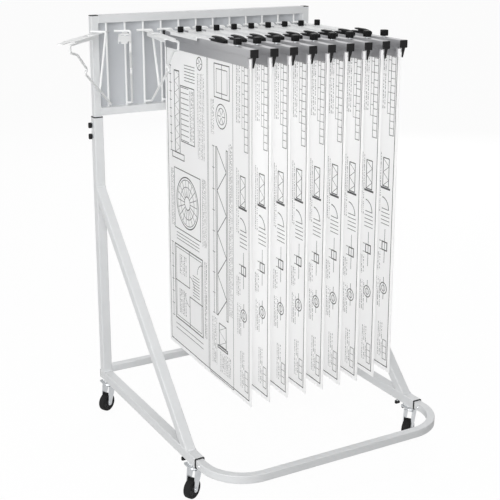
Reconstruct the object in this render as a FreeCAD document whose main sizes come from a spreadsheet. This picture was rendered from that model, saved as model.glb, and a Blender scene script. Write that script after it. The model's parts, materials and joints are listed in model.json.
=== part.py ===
import FreeCAD, Part
import Sketcher
import math
import os
import re
from FreeCAD import Placement, Rotation, Vector

# A plan hanging rack on casters.  X runs to the right, Y to the rear and Z up.  The origin is on
# the floor, midway between the two posts.  The twelve hanger arms reach forward, along -Y.

SIZES = (
    # square tubes
    ("tube_outer", 25.4, "side of the outer square tube"),
    ("tube_inner", 20.0, "side of the sliding square tube"),
    ("tube_wall", 1.5, "wall of both square tubes"),
    ("tube_corner", 2.5, "outside corner radius of the outer tube"),
    ("inner_corner", 2.0, "outside corner radius of the sliding tube"),
    ("least_corner", 0.4, "smallest inside corner radius of a tube"),
    ("slide_clearance", 0.1, "gap between a sliding tube and its sleeve, each side"),
    # frame
    ("post_spacing", 646.0, "distance between the posts, centre to centre"),
    ("side_height", 98.3, "height of the side tubes' centre line"),
    ("side_front", 587.0, "distance from the posts to the side tubes' front end"),
    ("post_top", 836.0, "height of the lower posts' upper end"),
    ("cross_bar_height", 115.0, "height of the rear cross bar's centre line"),
    ("brace_top", 648.0, "height at which a brace's upper edge meets its post"),
    ("brace_foot", 544.0, "distance from the posts to a brace's foot"),
    # sleeves and plugs
    ("sleeve_flange", 2.5, "thickness of a sleeve's or plug's flange"),
    ("sleeve_depth", 12.0, "length of a sleeve's skirt inside the tube"),
    ("sleeve_fit", 0.05, "gap between a skirt and the tube around it"),
    # front tube
    ("front_reach", 714.0, "distance from the posts to the front bar's centre line"),
    ("front_bend", 105.0, "centre line radius of the front tube's bends"),
    ("front_rear_end", 232.0, "distance from the posts to the rear ends of the front tube's legs"),
    ("button_hole", 9.0, "diameter of the spring button's hole"),
    ("button_offset", 17.0, "distance from a side tube's front end to the button hole"),
    # sliding panel frame
    ("total_height", 1105.0, "height of the rack with the panel at its lowest"),
    ("inner_post_foot", 130.0, "height of the upper posts' lower ends"),
    ("cap_thickness", 2.0, "thickness of a post cap above the tube"),
    ("cap_plug", 10.0, "length of a post cap inside the tube"),
    ("rail_height", 20.0, "height of both rails"),
    ("rail_depth", 30.0, "depth of both rails, front to rear"),
    ("rail_wall", 1.5, "wall of both rails"),
    ("rail_front", 14.0, "distance from the rods to the rails' front face"),
    ("panel_foot", 842.0, "height of the bottom rail's underside"),
    ("panel_sheet", 1.2, "thickness of the fluted back panel"),
    ("flute_depth", 6.0, "depth of a flute"),
    ("flute_crest", 8.0, "distance from the rods to the flutes' front crests"),
    # pivots
    ("pivot_count", 12, "number of hanger arms"),
    ("pivot_pitch", 52.4, "distance between neighbouring rods"),
    ("wire", 6.0, "diameter of the rods and wires"),
    ("pivot_clearance", 0.08, "gap between a rod and its bush, all round"),
    ("bush_flange", 11.0, "diameter of a bush's flange"),
    ("bush_neck", 8.0, "diameter of a bush's neck"),
    ("bush_thickness", 1.5, "thickness of a bush's flange"),
    ("bush_fit", 0.05, "gap between a bush's neck and its hole"),
    ("rod_top_reach", 10.0, "length of a rod inside the top rail"),
    ("rod_foot_gap", 0.3, "gap below a rod's lower end"),
    # hanger arm
    ("arm_top", 1062.5, "height of the arms' upper face"),
    ("arm_sheet", 2.0, "thickness of an arm's plate"),
    ("arm_width", 31.0, "width of an arm's channel"),
    ("arm_flange", 8.0, "depth of an arm's flanges"),
    ("arm_flange_sheet", 1.5, "thickness of an arm's flanges"),
    ("arm_shoulder", 100.0, "distance from the rod to the full width of an arm"),
    ("arm_front", 264.0, "distance from the rod to the front of an arm's channel"),
    ("tongue_width", 15.0, "width of an arm's tongue"),
    ("tongue_end", 320.0, "distance from the rod to the tongue's end"),
    ("neck_width", 14.0, "width of an arm's neck"),
    ("neck_rear", 3.5, "distance that the neck reaches behind the rod's centre"),
    ("neck_length", 88.0, "length of the neck in front of the rod"),
    ("window_rear", 117.0, "distance from the rod to the rear of an arm's window"),
    ("window_front", 147.0, "distance from the rod to the front of an arm's window"),
    ("window_width", 20.0, "width of an arm's window"),
    ("brace_side", 14.0, "sideways distance from the rod to the bracing wire"),
    ("weld_sink", 0.3, "how far a welded wire sinks into the plate"),
    # stop bar, across the neck, and its strut
    ("stop_side", 28.0, "sideways distance from the rod to the stop bar's free end"),
    ("stop_reach", 42.0, "distance from the rod to the stop bar"),
    ("stop_bend", 5.0, "bend radius between the stop bar and its strut"),
    ("stop_seat", 1.0, "depth of the groove in the neck that the stop bar lies in"),
    ("stop_seat_gap", 0.3, "gap between the stop bar and the groove's sides"),
    ("knot_reach", 101.0, "distance from the rod to where strut and bracing wire cross"),
    ("knot_depth", 142.0, "depth of that crossing below the arm's top"),
    # bracing wire, from the channel's front end down to the rod's foot
    ("loop_bend", 4.0, "bend radius of the bracing wire"),
    ("loop_start", 14.0, "length of the bracing wire under the channel"),
    ("loop_drop", 6.0, "depth of the bracing wire there, below the arm's top"),
    ("loop_reach", 29.0, "distance that the wire reaches in front of the channel"),
    ("loop_heel", 25.0, "distance from the channel to the wire's first lower bend"),
    ("loop_depth", 24.0, "depth of the first lower bend below the arm's top"),
    ("crook_back", 18.0, "distance behind the channel's front to the wire's crook"),
    ("crook_depth", 34.0, "depth of the crook below the arm's top"),
    ("step_back", 80.0, "distance behind the channel's front to the step's upper bend"),
    ("step_depth", 78.0, "depth of the step's upper bend below the arm's top"),
    ("step_front", 61.0, "distance behind the channel's front to the step's lower bend"),
    ("step_foot", 84.0, "depth of the step's lower bend below the arm's top"),
    ("heel_reach", 22.0, "distance from the rod to the wire's last bend"),
    ("heel_rise", 4.0, "height of the last bend above the wire's foot"),
    ("wire_foot_gap", 2.0, "gap between the wire's foot and the bush below it"),
    # hanging clamp
    ("clamp_width", 20.0, "width of a hanging clamp"),
    ("clamp_beam", 19.0, "height of a clamp's box beam"),
    ("clamp_height", 42.0, "height of a clamp, from its top to its jaw lips"),
    ("clamp_wall", 1.6, "wall of a clamp's box beam"),
    ("slit_side", 5.0, "distance from a clamp's middle to its slit, towards the left"),
    ("jaw_lip", 2.0, "thickness of the slanting jaw at its lip"),
    ("jaw_depth", 21.0, "height of the slit between the jaws"),
    ("jaw_setback", 12.0, "distance that the jaws end short of the beam's front end"),
    ("clamp_rear", 35.0, "distance from the rod to a clamp's rear end"),
    ("clamp_front", 547.0, "distance from the rod to a clamp's front end"),
    ("rear_cap", 18.0, "length of a clamp's rear cap"),
    ("front_cap", 4.0, "length of a clamp's front cap"),
    ("wedge_width", 8.0, "width of the front cap's wedge, just below the beam"),
    ("clamp_gap", 0.3, "gap between a clamp and the arm above it"),
    ("knob_side", 16.0, "side of a clamp knob's square head"),
    ("knob_height", 13.0, "height of a clamp knob's head"),
    ("knob_corner", 2.5, "corner radius of a clamp knob's head"),
    ("knob_stem", 8.0, "diameter of a clamp knob's stem"),
    ("rear_knob", 132.0, "distance from the rod to the rear knob"),
    ("front_knob", 460.0, "distance from the rod to the front knob"),
    ("front_knob_lift", 3.0, "height of the front knob's head above the clamp"),
    ("lever_front", 398.0, "distance from the rod to the lever's front end"),
    ("lever_rear", 350.0, "distance from the rod to the lever's body"),
    ("lever_tip", 310.0, "distance from the rod to the lever's tip"),
    ("lever_width", 10.0, "width of the lever"),
    ("lever_height", 11.0, "height of the lever above the clamp"),
    ("lever_nose", 6.6, "height of the lever's front end above the clamp"),
    # sheets
    ("sheets_thickness", 1.4, "thickness of a pack of drawings"),
    ("sheets_foot", 182.0, "height of the drawings' lower edge"),
    ("sheets_grip", 0.1, "gap between the drawings and each jaw"),
    ("sheets_headroom", 1.0, "gap between the drawings' upper edge and the slit's end"),
    ("sheets_rear", 37.0, "distance from the rod to the drawings' rear edge"),
    ("sheets_front", 541.0, "distance from the rod to the drawings' front edge"),
    # casters
    ("wheel_diameter", 50.0, "diameter of a wheel"),
    ("wheel_width", 18.0, "width of a wheel's tread"),
    ("wheel_chamfer", 3.0, "bevel at the edges of the tread"),
    ("rim_depth", 7.0, "depth of the rim below the tread"),
    ("web_width", 11.0, "width of a wheel between hub and rim"),
    ("hub_width", 20.4, "width of a wheel's hub"),
    ("hub_diameter", 16.0, "diameter of a wheel's hub"),
    ("axle", 6.0, "diameter of an axle"),
    ("axle_clearance", 0.05, "gap between an axle and its wheel, all round"),
    ("axle_head", 10.0, "diameter of an axle's heads"),
    ("axle_head_height", 1.2, "height of an axle's heads"),
    ("fork_gap", 21.0, "distance between a fork's legs"),
    ("fork_sheet", 2.5, "thickness of a fork's legs"),
    ("fork_foot", 15.0, "width of a fork's leg at the axle"),
    ("fork_crown", 34.0, "diameter of a fork's crown"),
    ("fork_bridge", 73.5, "height of the underside of a fork's bridge"),
    ("crown_bevel", 3.0, "bevel around the underside of a fork's crown"),
    ("crown_taper", 2.0, "how much less a crown's radius is at its top"),
    ("leg_root", 1.0, "height that a fork's legs reach into its crown"),
    ("caster_trail", 13.0, "distance from the swivel axis to the axle"),
    ("king_pin", 8.0, "diameter of a fork's king pin"),
    ("king_pin_clearance", 0.05, "gap between a king pin and its plate, all round"),
    ("swivel_gap", 0.3, "gap between a fork's crown and its plate"),
    ("plate_thickness", 3.0, "thickness of a caster's plate"),
    ("plate_width", 46.0, "width of a caster's plate, side to side"),
    ("plate_length", 30.0, "length of a caster's plate, front to rear"),
    ("plate_corner", 4.0, "corner radius of a caster's plate"),
    ("rear_swivel", 18.0, "distance from the posts to the rear swivel axes"),
    ("front_swivel", 562.0, "distance from the posts to the front swivel axes"),
    ("caster_turn", 208.0, "direction in which the casters trail, from +X towards +Y"),
    # clamping screws
    ("screw", 6.0, "diameter of a clamping screw"),
    ("screw_clearance", 0.05, "gap between a screw and its nut and hole, all round"),
    ("screw_head_length", 15.0, "length of a screw's wing head"),
    ("screw_head_width", 8.0, "width of a screw's wing head"),
    ("screw_head_height", 9.0, "height of a screw's wing head"),
    ("screw_head_corner", 3.6, "corner radius of a screw's wing head"),
    ("screw_tip_gap", 0.05, "gap between a screw's tip and the tube that it clamps"),
    ("post_screw_standoff", 0.6, "gap between a post's nuts and the screw heads"),
    ("side_screw_standoff", 7.5, "gap between a side tube's nuts and the screw heads"),
    ("nut_width", 11.0, "width of a nut across its corners"),
    ("nut_height", 2.5, "height of a nut"),
    ("upper_screw", 816.0, "height of the upper screws in the posts"),
    ("lower_screw", 786.0, "height of the lower screws in the posts"),
    ("front_screw", 534.0, "distance from the posts to the front screws in the side tubes"),
    ("rear_screw", 504.0, "distance from the posts to the rear screws in the side tubes"),
    # how the arms stand, in degrees to the left of straight ahead
    ("first_arm_turn", 41.6, "turn of the first arm"),
    ("second_arm_turn", 23.0, "turn of the second arm"),
    ("third_arm_turn", 9.5, "turn of the third arm"),
    ("loaded_arm_turn", 2.0, "turn of the arms that carry clamps"),
    # how far a cutting shape reaches past the material
    ("cut_margin", 2.0, "reach of a cutting shape past the material"),
)

# Lengths worked out from the sizes above.
DERIVED = {
    "post_x": "post_spacing / 2",
    "half_outer": "tube_outer / 2",
    "half_inner": "tube_inner / 2",
    "outer_bore": "tube_outer - 2 * tube_wall",
    "inner_bore": "tube_inner - 2 * tube_wall",
    "outer_bore_corner": "max(tube_corner - tube_wall; least_corner)",
    "inner_bore_corner": "max(inner_corner - tube_wall; least_corner)",
    "skirt_outer": "outer_bore - 2 * sleeve_fit",
    "slide_bore": "tube_inner + 2 * slide_clearance",
    "slide_bore_corner": "inner_corner",
    "side_top": "side_height + half_outer",
    "side_bottom": "side_height - half_outer",
    "brace_rise": "(brace_top - side_top)",
    "brace_run": "(brace_foot - half_outer)",
    "brace_length": "sqrt(brace_rise * brace_rise + brace_run * brace_run)",
    "steep": "(brace_length / brace_run)",
    "flat": "(brace_length / brace_rise)",
    "clear_width": "2 * (post_x - half_inner)",
    "top_rail_foot": "total_height - rail_height",
    "bottom_rail_top": "panel_foot + rail_height",
    "first_pivot": "0 - (pivot_count - 1) * pivot_pitch / 2",
    "rod_radius": "wire / 2",
    "bush_bore": "wire + 2 * pivot_clearance",
    "bush_hole": "bush_neck + 2 * bush_fit",
    "rod_foot": "panel_foot + rail_wall + rod_foot_gap",
    "rod_top": "top_rail_foot + rod_top_reach",
    "arm_under": "arm_top - arm_sheet",
    "half_arm": "arm_width / 2",
    "half_tongue": "tongue_width / 2",
    "clamp_top": "arm_under - clamp_gap",
    "clamp_foot": "clamp_top - clamp_height",
    "half_clamp": "clamp_width / 2",
    "beam_foot": "clamp_top - clamp_beam",
    "half_slit": "sheets_thickness / 2 + sheets_grip",
    "slit_left": "0 - slit_side - half_slit",
    "slit_right": "half_slit - slit_side",
    "slit_top": "clamp_foot + jaw_depth",
    "sheets_top": "slit_top - sheets_headroom",
    "plate_foot": "side_bottom - plate_thickness",
    "crown_top": "plate_foot - swivel_gap",
    "wheel_radius": "wheel_diameter / 2",
    "post_screw_start": "post_x + half_inner + screw_tip_gap",
    "side_screw_start": "side_height - half_inner - screw_tip_gap",
    "screw_bore": "screw + 2 * screw_clearance",
    "screw_entry": "half_outer - half_inner - screw_tip_gap + nut_height",
}
NAMES = {alias for alias, _, _ in SIZES}

LOADED_ARM_FIRST = 4          # arms 1 to 3 stand empty, the rest carry a clamp

doc = FreeCAD.newDocument("plan_hanging_rack")
sheet = doc.addObject("Spreadsheet::Sheet", "Sizes")
for row, (alias, number, meaning) in enumerate(SIZES, 1):
    sheet.set("A%d" % row, meaning)
    sheet.set("B%d" % row, str(number))
    sheet.setAlias("B%d" % row, alias)
doc.recompute()

nodes = []


def bound(text):
    """An expression with each size name looked up in the sheet and each derived name spelled out."""
    def look_up(match):
        word = match.group(0)
        if word in NAMES:
            return "Sizes." + word
        if word in DERIVED:
            return "(" + bound(DERIVED[word]) + ")"
        return word
    return re.sub(r"[a-z][a-z_]*", look_up, text)


def size(text):
    """The present value of an expression, as a number."""
    return float(sheet.evalExpression(bound(text)))


def bind(thing, **expressions):
    """Bind properties to expressions; a double underscore in a name stands for a dot."""
    for name, text in expressions.items():
        thing.setExpression(name.replace("__", "."), bound(text))
    return thing


def place(thing, x="0", y="0", z="0", turn=None, axis=Vector(0, 0, 1)):
    """Bind a placement: a turn in degrees about an axis, then a shift."""
    if turn is not None:
        thing.Placement = Placement(Vector(), Rotation(axis, 30))
        thing.setExpression("Placement.Rotation.Angle", "(%s) * 1 deg" % bound(turn))
    for letter, text in (("x", x), ("y", y), ("z", z)):
        thing.setExpression("Placement.Base." + letter, "(%s) * 1 mm" % bound(text))
    return thing


def keep(thing, label):
    """Name an object as a finished node of the rack."""
    thing.Label = label
    nodes.append(thing)
    return thing


def group(name, things):
    """Several pieces in one compound, each still its own solid."""
    compound = doc.addObject("Part::Compound", name)
    compound.Links = things
    return compound


def copy_of(thing, name, **where):
    """The same piece once more, at another place."""
    return place(group(name, [thing]), **where)


def mirrored(thing, name):
    """The left-hand twin of a right-hand piece."""
    twin = doc.addObject("Part::Mirroring", name)
    twin.Source = thing
    twin.Base = Vector(0, 0, 0)
    twin.Normal = Vector(1, 0, 0)
    return twin


# ---- sketches and features ----------------------------------------------------------------------

def new_body(name):
    return doc.addObject("PartDesign::Body", name)


def sketch_on(body, role, name, offset="0"):
    """A sketch on one of the body's own planes, moved along that plane's normal."""
    sketch = body.newObject("Sketcher::SketchObject", name)
    plane = [item for item in body.Origin.OriginFeatures if item.Role == role][0]
    sketch.AttachmentSupport = [(plane, "")]
    sketch.MapMode = "FlatFace"
    sketch.setExpression("AttachmentOffset.Base.z", "(%s) * 1 mm" % bound(offset))
    return sketch


def fix_point(sketch, geometry, point, x, y):
    """Hold one point of a sketch at an expression's distance from the origin."""
    for kind, text in (("DistanceX", x), ("DistanceY", y)):
        index = sketch.addConstraint(Sketcher.Constraint(kind, -1, 1, geometry, point, size(text)))
        sketch.setExpression("Constraints[%d]" % index, bound(text))


def outline(sketch, corners):
    """A closed outline of straight edges through corners given as pairs of expressions."""
    points = [Vector(size(x), size(y), 0) for x, y in corners]
    lines = []
    for here, there in zip(points, points[1:] + points[:1]):
        lines.append(sketch.addGeometry(Part.LineSegment(here, there)))
    for line, following in zip(lines, lines[1:] + lines[:1]):
        sketch.addConstraint(Sketcher.Constraint("Coincident", line, 2, following, 1))
    for line, (x, y) in zip(lines, corners):
        fix_point(sketch, line, 1, x, y)


def rectangle(sketch, x_low, x_high, y_low, y_high):
    outline(sketch, ((x_low, y_low), (x_high, y_low), (x_high, y_high), (x_low, y_high)))


def circle(sketch, x, y, diameter):
    ring = Part.Circle(Vector(size(x), size(y), 0), Vector(0, 0, 1), size(diameter) / 2)
    geometry = sketch.addGeometry(ring)
    fix_point(sketch, geometry, 3, x, y)
    index = sketch.addConstraint(Sketcher.Constraint("Diameter", geometry, size(diameter)))
    sketch.setExpression("Constraints[%d]" % index, bound(diameter))


def rounded_rectangle(sketch, width, height, corner):
    """A rectangle about the origin with four equal round corners."""
    half_w = size(width) / 2
    half_h = size(height) / 2
    radius = size(corner)
    quarter = math.pi / 2
    lines = []
    arcs = []
    for turn in range(4):
        turned = Rotation(Vector(0, 0, 1), 90 * turn)
        along, across = (half_w, half_h) if turn % 2 == 0 else (half_h, half_w)
        start = turned.multVec(Vector(-along + radius, -across, 0))
        end = turned.multVec(Vector(along - radius, -across, 0))
        middle = turned.multVec(Vector(along - radius, -across + radius, 0))
        lines.append(sketch.addGeometry(Part.LineSegment(start, end)))
        ring = Part.Circle(middle, Vector(0, 0, 1), radius)
        first = (turn - 1) * quarter
        arcs.append(sketch.addGeometry(Part.ArcOfCircle(ring, first, first + quarter)))
    for turn in range(4):
        after = lines[(turn + 1) % 4]
        sketch.addConstraint(Sketcher.Constraint("Tangent", lines[turn], 2, arcs[turn], 1))
        sketch.addConstraint(Sketcher.Constraint("Tangent", arcs[turn], 2, after, 1))
        direction = "Horizontal" if turn % 2 == 0 else "Vertical"
        sketch.addConstraint(Sketcher.Constraint(direction, lines[turn]))
    for arc in arcs[1:]:
        sketch.addConstraint(Sketcher.Constraint("Equal", arcs[0], arc))
    sketch.addConstraint(Sketcher.Constraint("Symmetric", arcs[0], 3, arcs[2], 3, -1, 1))
    for constraint, text in (
        (Sketcher.Constraint("Radius", arcs[0], radius), corner),
        (Sketcher.Constraint("DistanceX", lines[3], 1, lines[1], 1, 2 * half_w), width),
        (Sketcher.Constraint("DistanceY", lines[0], 1, lines[2], 1, 2 * half_h), height),
    ):
        index = sketch.addConstraint(constraint)
        sketch.setExpression("Constraints[%d]" % index, bound(text))


def feature(body, kind, name, sketch, length, midplane=False, reverse=False):
    """A pad or a pocket of a given length."""
    made = body.newObject("PartDesign::" + kind, name)
    made.Profile = sketch
    made.setExpression("Length", bound(length))
    made.Midplane = midplane
    made.Reversed = reverse
    sketch.Visibility = False
    return made


def pad(body, name, sketch, length, **how):
    return feature(body, "Pad", name, sketch, length, **how)


def pocket(body, name, sketch, length, **how):
    return feature(body, "Pocket", name, sketch, length, **how)


def revolve(body, name, sketch):
    """A full turn about the sketch's upright axis."""
    made = body.newObject("PartDesign::Revolution", name)
    made.Profile = sketch
    made.ReferenceAxis = (sketch, ["V_Axis"])
    made.Angle = 360
    return made


def fillet_along(body, name, direction, radius):
    """Round every straight edge of the body that runs along a direction."""
    doc.recompute()
    chosen = []
    for number, edge in enumerate(body.Shape.Edges, 1):
        if not isinstance(edge.Curve, Part.Line):
            continue
        if abs(edge.Curve.Direction.dot(direction)) > 0.9999:
            chosen.append("Edge%d" % number)
    solid = body.Tip
    made = body.newObject("PartDesign::Fillet", name)
    made.Base = (solid, chosen)
    made.setExpression("Radius", bound(radius))
    return made


def bent_wire(name, corners, bend):
    """A round wire through corner points, with a tangent arc of one radius at every corner."""
    radius = size(bend)
    points = [Vector(*(size(part) for part in corner)) for corner in corners]
    edges = []
    start = points[0]
    for before, corner, after in zip(points, points[1:], points[2:]):
        back = (before - corner).normalize()
        ahead = (after - corner).normalize()
        half_angle = back.getAngle(ahead) / 2
        reach = radius / math.tan(half_angle)
        enter = corner + back * reach
        leave = corner + ahead * reach
        inward = (back + ahead).normalize()
        nearest = corner + inward * (radius / math.sin(half_angle) - radius)
        edges.append(Part.LineSegment(start, enter).toShape())
        edges.append(Part.Arc(enter, nearest, leave).toShape())
        start = leave
    edges.append(Part.LineSegment(start, points[-1]).toShape())
    path = Part.Wire(edges)
    ring = Part.Circle(points[0], points[1] - points[0], size("rod_radius"))
    thing = doc.addObject("Part::Feature", name)
    thing.Shape = path.makePipeShell([Part.Wire(ring.toShape())], True, False)
    return thing


# ---- square tubes -------------------------------------------------------------------------------

def tube_section(sketch, outside, corner, bore, bore_corner):
    rounded_rectangle(sketch, outside, outside, corner)
    rounded_rectangle(sketch, bore, bore, bore_corner)


def outer_section(sketch):
    tube_section(sketch, "tube_outer", "tube_corner", "outer_bore", "outer_bore_corner")


def inner_section(sketch):
    tube_section(sketch, "tube_inner", "inner_corner", "inner_bore", "inner_bore_corner")


def lower_posts():
    """Two upright outer tubes, each bored in its outer face for two clamping screws."""
    post = new_body("right_post")
    section = sketch_on(post, "XY_Plane", "right_post_section", "side_top")
    outer_section(section)
    pad(post, "right_post_length", section, "post_top - side_top")
    holes = sketch_on(post, "YZ_Plane", "right_post_holes", "half_outer - tube_wall - cut_margin")
    circle(holes, "0", "upper_screw", "screw_bore")
    circle(holes, "0", "lower_screw", "screw_bore")
    pocket(post, "right_post_bores", holes, "tube_wall + 2 * cut_margin", reverse=True)
    place(post, x="post_x")
    keep(group("posts", [post, mirrored(post, "left_post")]), "post_tubes")


def side_tubes():
    """Two outer tubes along the floor; the posts stand on their rear ends."""
    tube = new_body("right_side")
    section = sketch_on(tube, "XZ_Plane", "right_side_section", "0 - half_outer")
    outer_section(section)
    pad(tube, "right_side_length", section, "side_front + half_outer")
    holes = sketch_on(tube, "XY_Plane", "right_side_holes", "tube_wall + cut_margin - half_outer")
    circle(holes, "0", "0 - front_screw", "screw_bore")
    circle(holes, "0", "0 - rear_screw", "screw_bore")
    pocket(tube, "right_side_bores", holes, "tube_wall + 2 * cut_margin")
    place(tube, x="post_x", z="side_height")
    keep(group("sides", [tube, mirrored(tube, "left_side")]), "side_tubes")


def diagonal_braces():
    """Two outer tubes, mitred to the posts' front faces and the side tubes' tops."""
    brace = new_body("right_brace")
    side_view = sketch_on(brace, "YZ_Plane", "right_brace_outline")
    outline(side_view, (
        ("0 - half_outer", "brace_top"),
        ("0 - half_outer", "brace_top - tube_outer * steep"),
        ("tube_outer * flat - brace_foot", "side_top"),
        ("0 - brace_foot", "side_top"),
    ))
    pad(brace, "right_brace_solid", side_view, "tube_outer", midplane=True)
    along = Vector(0, size("brace_run"), size("brace_rise")).normalize()
    fillet_along(brace, "right_brace_corners", along, "tube_corner")
    bore = sketch_on(brace, "YZ_Plane", "right_brace_bore_outline")
    outline(bore, (
        ("0 - half_outer", "brace_top - tube_wall * steep"),
        ("0 - half_outer", "brace_top - (tube_outer - tube_wall) * steep"),
        ("(tube_outer - tube_wall) * flat - brace_foot", "side_top"),
        ("tube_wall * flat - brace_foot", "side_top"),
    ))
    pocket(brace, "right_brace_bore", bore, "outer_bore", midplane=True)
    place(brace, x="post_x")
    keep(group("braces", [brace, mirrored(brace, "left_brace")]), "diagonal_braces")


def rear_cross_bar():
    """The smaller tube between the two posts, just above the side tubes' centre lines."""
    bar = new_body("cross_bar")
    section = sketch_on(bar, "YZ_Plane", "cross_bar_section")
    inner_section(section)
    pad(bar, "cross_bar_length", section, "2 * (post_x - half_outer)", midplane=True)
    place(bar, z="cross_bar_height")
    keep(bar, "rear_cross_bar")


def sleeve(name):
    """A plastic sleeve: a square flange on the tube's end and a skirt inside the tube.

    The tube's end face is the XY plane, and the tube lies below it."""
    body = new_body(name)
    flange = sketch_on(body, "XY_Plane", name + "_flange_section")
    tube_section(flange, "tube_outer", "tube_corner", "slide_bore", "slide_bore_corner")
    pad(body, name + "_flange", flange, "sleeve_flange")
    skirt = sketch_on(body, "XY_Plane", name + "_skirt_section")
    tube_section(skirt, "skirt_outer", "outer_bore_corner", "slide_bore", "outer_bore_corner")
    pad(body, name + "_skirt", skirt, "sleeve_depth", reverse=True)
    return body


def plug(name, outside, corner, inside, inside_corner, flange_thickness, depth):
    """A plastic plug that closes a tube's end; the tube's end face is the XY plane."""
    body = new_body(name)
    flange = sketch_on(body, "XY_Plane", name + "_flange_section")
    rounded_rectangle(flange, outside, outside, corner)
    pad(body, name + "_flange", flange, flange_thickness)
    core = sketch_on(body, "XY_Plane", name + "_core_section")
    rounded_rectangle(core, inside, inside, inside_corner)
    pad(body, name + "_core", core, depth, reverse=True)
    return body


def tube_sleeves():
    """Sleeves in the posts' tops and the side tubes' fronts, and plugs in the side tubes' rears."""
    upright = place(sleeve("post_sleeve"), x="post_x", z="post_top")
    forward = place(sleeve("side_sleeve"), x="post_x", y="0 - side_front", z="side_height",
                    turn="90", axis=Vector(1, 0, 0))
    rear_plug = plug("side_plug", "tube_outer", "tube_corner", "skirt_outer", "outer_bore_corner",
                     "sleeve_flange", "sleeve_depth")
    place(rear_plug, x="post_x", y="half_outer", z="side_height", turn="0 - 90", axis=Vector(1, 0, 0))
    right_hand = [upright, forward, rear_plug]
    left_hand = [mirrored(piece, "left_" + piece.Name) for piece in right_hand]
    keep(group("sleeves", right_hand + left_hand), "tube_sleeves")


def front_u_tube():
    """The sliding tube bent to a U; its legs reach back inside the side tubes."""
    body = new_body("front_tube")
    spine = sketch_on(body, "XY_Plane", "front_tube_spine")
    side = size("post_x")
    rear = -size("front_rear_end")
    front = -size("front_reach")
    bend = size("front_bend")
    straight = front + bend
    left_leg = spine.addGeometry(Part.LineSegment(Vector(-side, rear, 0), Vector(-side, straight, 0)))
    left_ring = Part.Circle(Vector(-side + bend, straight, 0), Vector(0, 0, 1), bend)
    left_arc = spine.addGeometry(Part.ArcOfCircle(left_ring, math.pi, 1.5 * math.pi))
    bar = spine.addGeometry(Part.LineSegment(Vector(-side + bend, front, 0), Vector(side - bend, front, 0)))
    right_ring = Part.Circle(Vector(side - bend, straight, 0), Vector(0, 0, 1), bend)
    right_arc = spine.addGeometry(Part.ArcOfCircle(right_ring, 1.5 * math.pi, 2 * math.pi))
    right_leg = spine.addGeometry(Part.LineSegment(Vector(side, straight, 0), Vector(side, rear, 0)))
    for joint in ((left_leg, 2, left_arc, 1), (left_arc, 2, bar, 1), (bar, 2, right_arc, 1),
                  (right_arc, 2, right_leg, 1)):
        spine.addConstraint(Sketcher.Constraint("Tangent", *joint))
    spine.addConstraint(Sketcher.Constraint("Vertical", left_leg))
    spine.addConstraint(Sketcher.Constraint("Horizontal", bar))
    spine.addConstraint(Sketcher.Constraint("Equal", left_arc, right_arc))
    fix_point(spine, left_leg, 1, "0 - post_x", "0 - front_rear_end")
    fix_point(spine, right_leg, 2, "post_x", "0 - front_rear_end")
    for constraint, text in (
        (Sketcher.Constraint("DistanceY", -1, 1, bar, 1, front), "0 - front_reach"),
        (Sketcher.Constraint("Radius", left_arc, bend), "front_bend"),
    ):
        index = spine.addConstraint(constraint)
        spine.setExpression("Constraints[%d]" % index, bound(text))
    section = sketch_on(body, "XZ_Plane", "front_tube_section", "front_rear_end")
    section.setExpression("AttachmentOffset.Base.x", "(%s) * 1 mm" % bound("0 - post_x"))
    inner_section(section)
    pipe = body.newObject("PartDesign::AdditivePipe", "front_tube_bend")
    pipe.Profile = section
    pipe.Spine = (spine, ["Edge1", "Edge2", "Edge3", "Edge4", "Edge5"])
    for name, plane_at in (("right", "post_x"), ("left", "0 - post_x")):
        hole = sketch_on(body, "YZ_Plane", name + "_button_hole", plane_at + " - half_inner - cut_margin")
        circle(hole, "0 - side_front - button_offset", "0", "button_hole")
        pocket(body, name + "_button_bore", hole, "tube_wall + 2 * cut_margin", reverse=True)
    place(body, z="side_height")
    keep(body, "front_u_tube")


# ---- sliding panel frame ------------------------------------------------------------------------

def inner_posts():
    """Two sliding tubes that reach down inside the lower posts."""
    post = new_body("right_inner_post")
    section = sketch_on(post, "XY_Plane", "right_inner_post_section", "inner_post_foot")
    inner_section(section)
    pad(post, "right_inner_post_length", section, "total_height - cap_thickness - inner_post_foot")
    place(post, x="post_x")
    keep(group("upper_posts", [post, mirrored(post, "left_inner_post")]), "inner_posts")
    cap = plug("right_cap", "tube_inner", "inner_corner", "inner_bore - 2 * sleeve_fit",
               "inner_bore_corner", "cap_thickness", "cap_plug")
    place(cap, x="post_x", z="total_height - cap_thickness")
    keep(group("caps", [cap, mirrored(cap, "left_cap")]), "post_caps")


def rail(label, foot, drilled_wall):
    """A closed box rail between the inner posts, drilled for the bushes on one side."""
    body = new_body(label + "_body")
    section = sketch_on(body, "YZ_Plane", label + "_section")
    rear = "rail_depth - rail_front"
    rectangle(section, "0 - rail_front", rear, "0", "rail_height")
    rectangle(section, "rail_wall - rail_front", rear + " - rail_wall",
              "rail_wall", "rail_height - rail_wall")
    pad(body, label + "_length", section, "clear_width", midplane=True)
    hole = sketch_on(body, "XY_Plane", label + "_hole", drilled_wall)
    circle(hole, "first_pivot", "0", "bush_hole")
    bore = pocket(body, label + "_bore", hole, "2 * rail_wall", midplane=True)
    doc.recompute()
    row = body.newObject("PartDesign::LinearPattern", label + "_bores")
    row.Originals = [bore]
    row.Direction = (hole, ["H_Axis"])
    row.setExpression("Length", bound("(pivot_count - 1) * pivot_pitch"))
    row.setExpression("Occurrences", bound("pivot_count"))
    body.Tip = row
    place(body, z=foot)
    keep(body, label)


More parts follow.
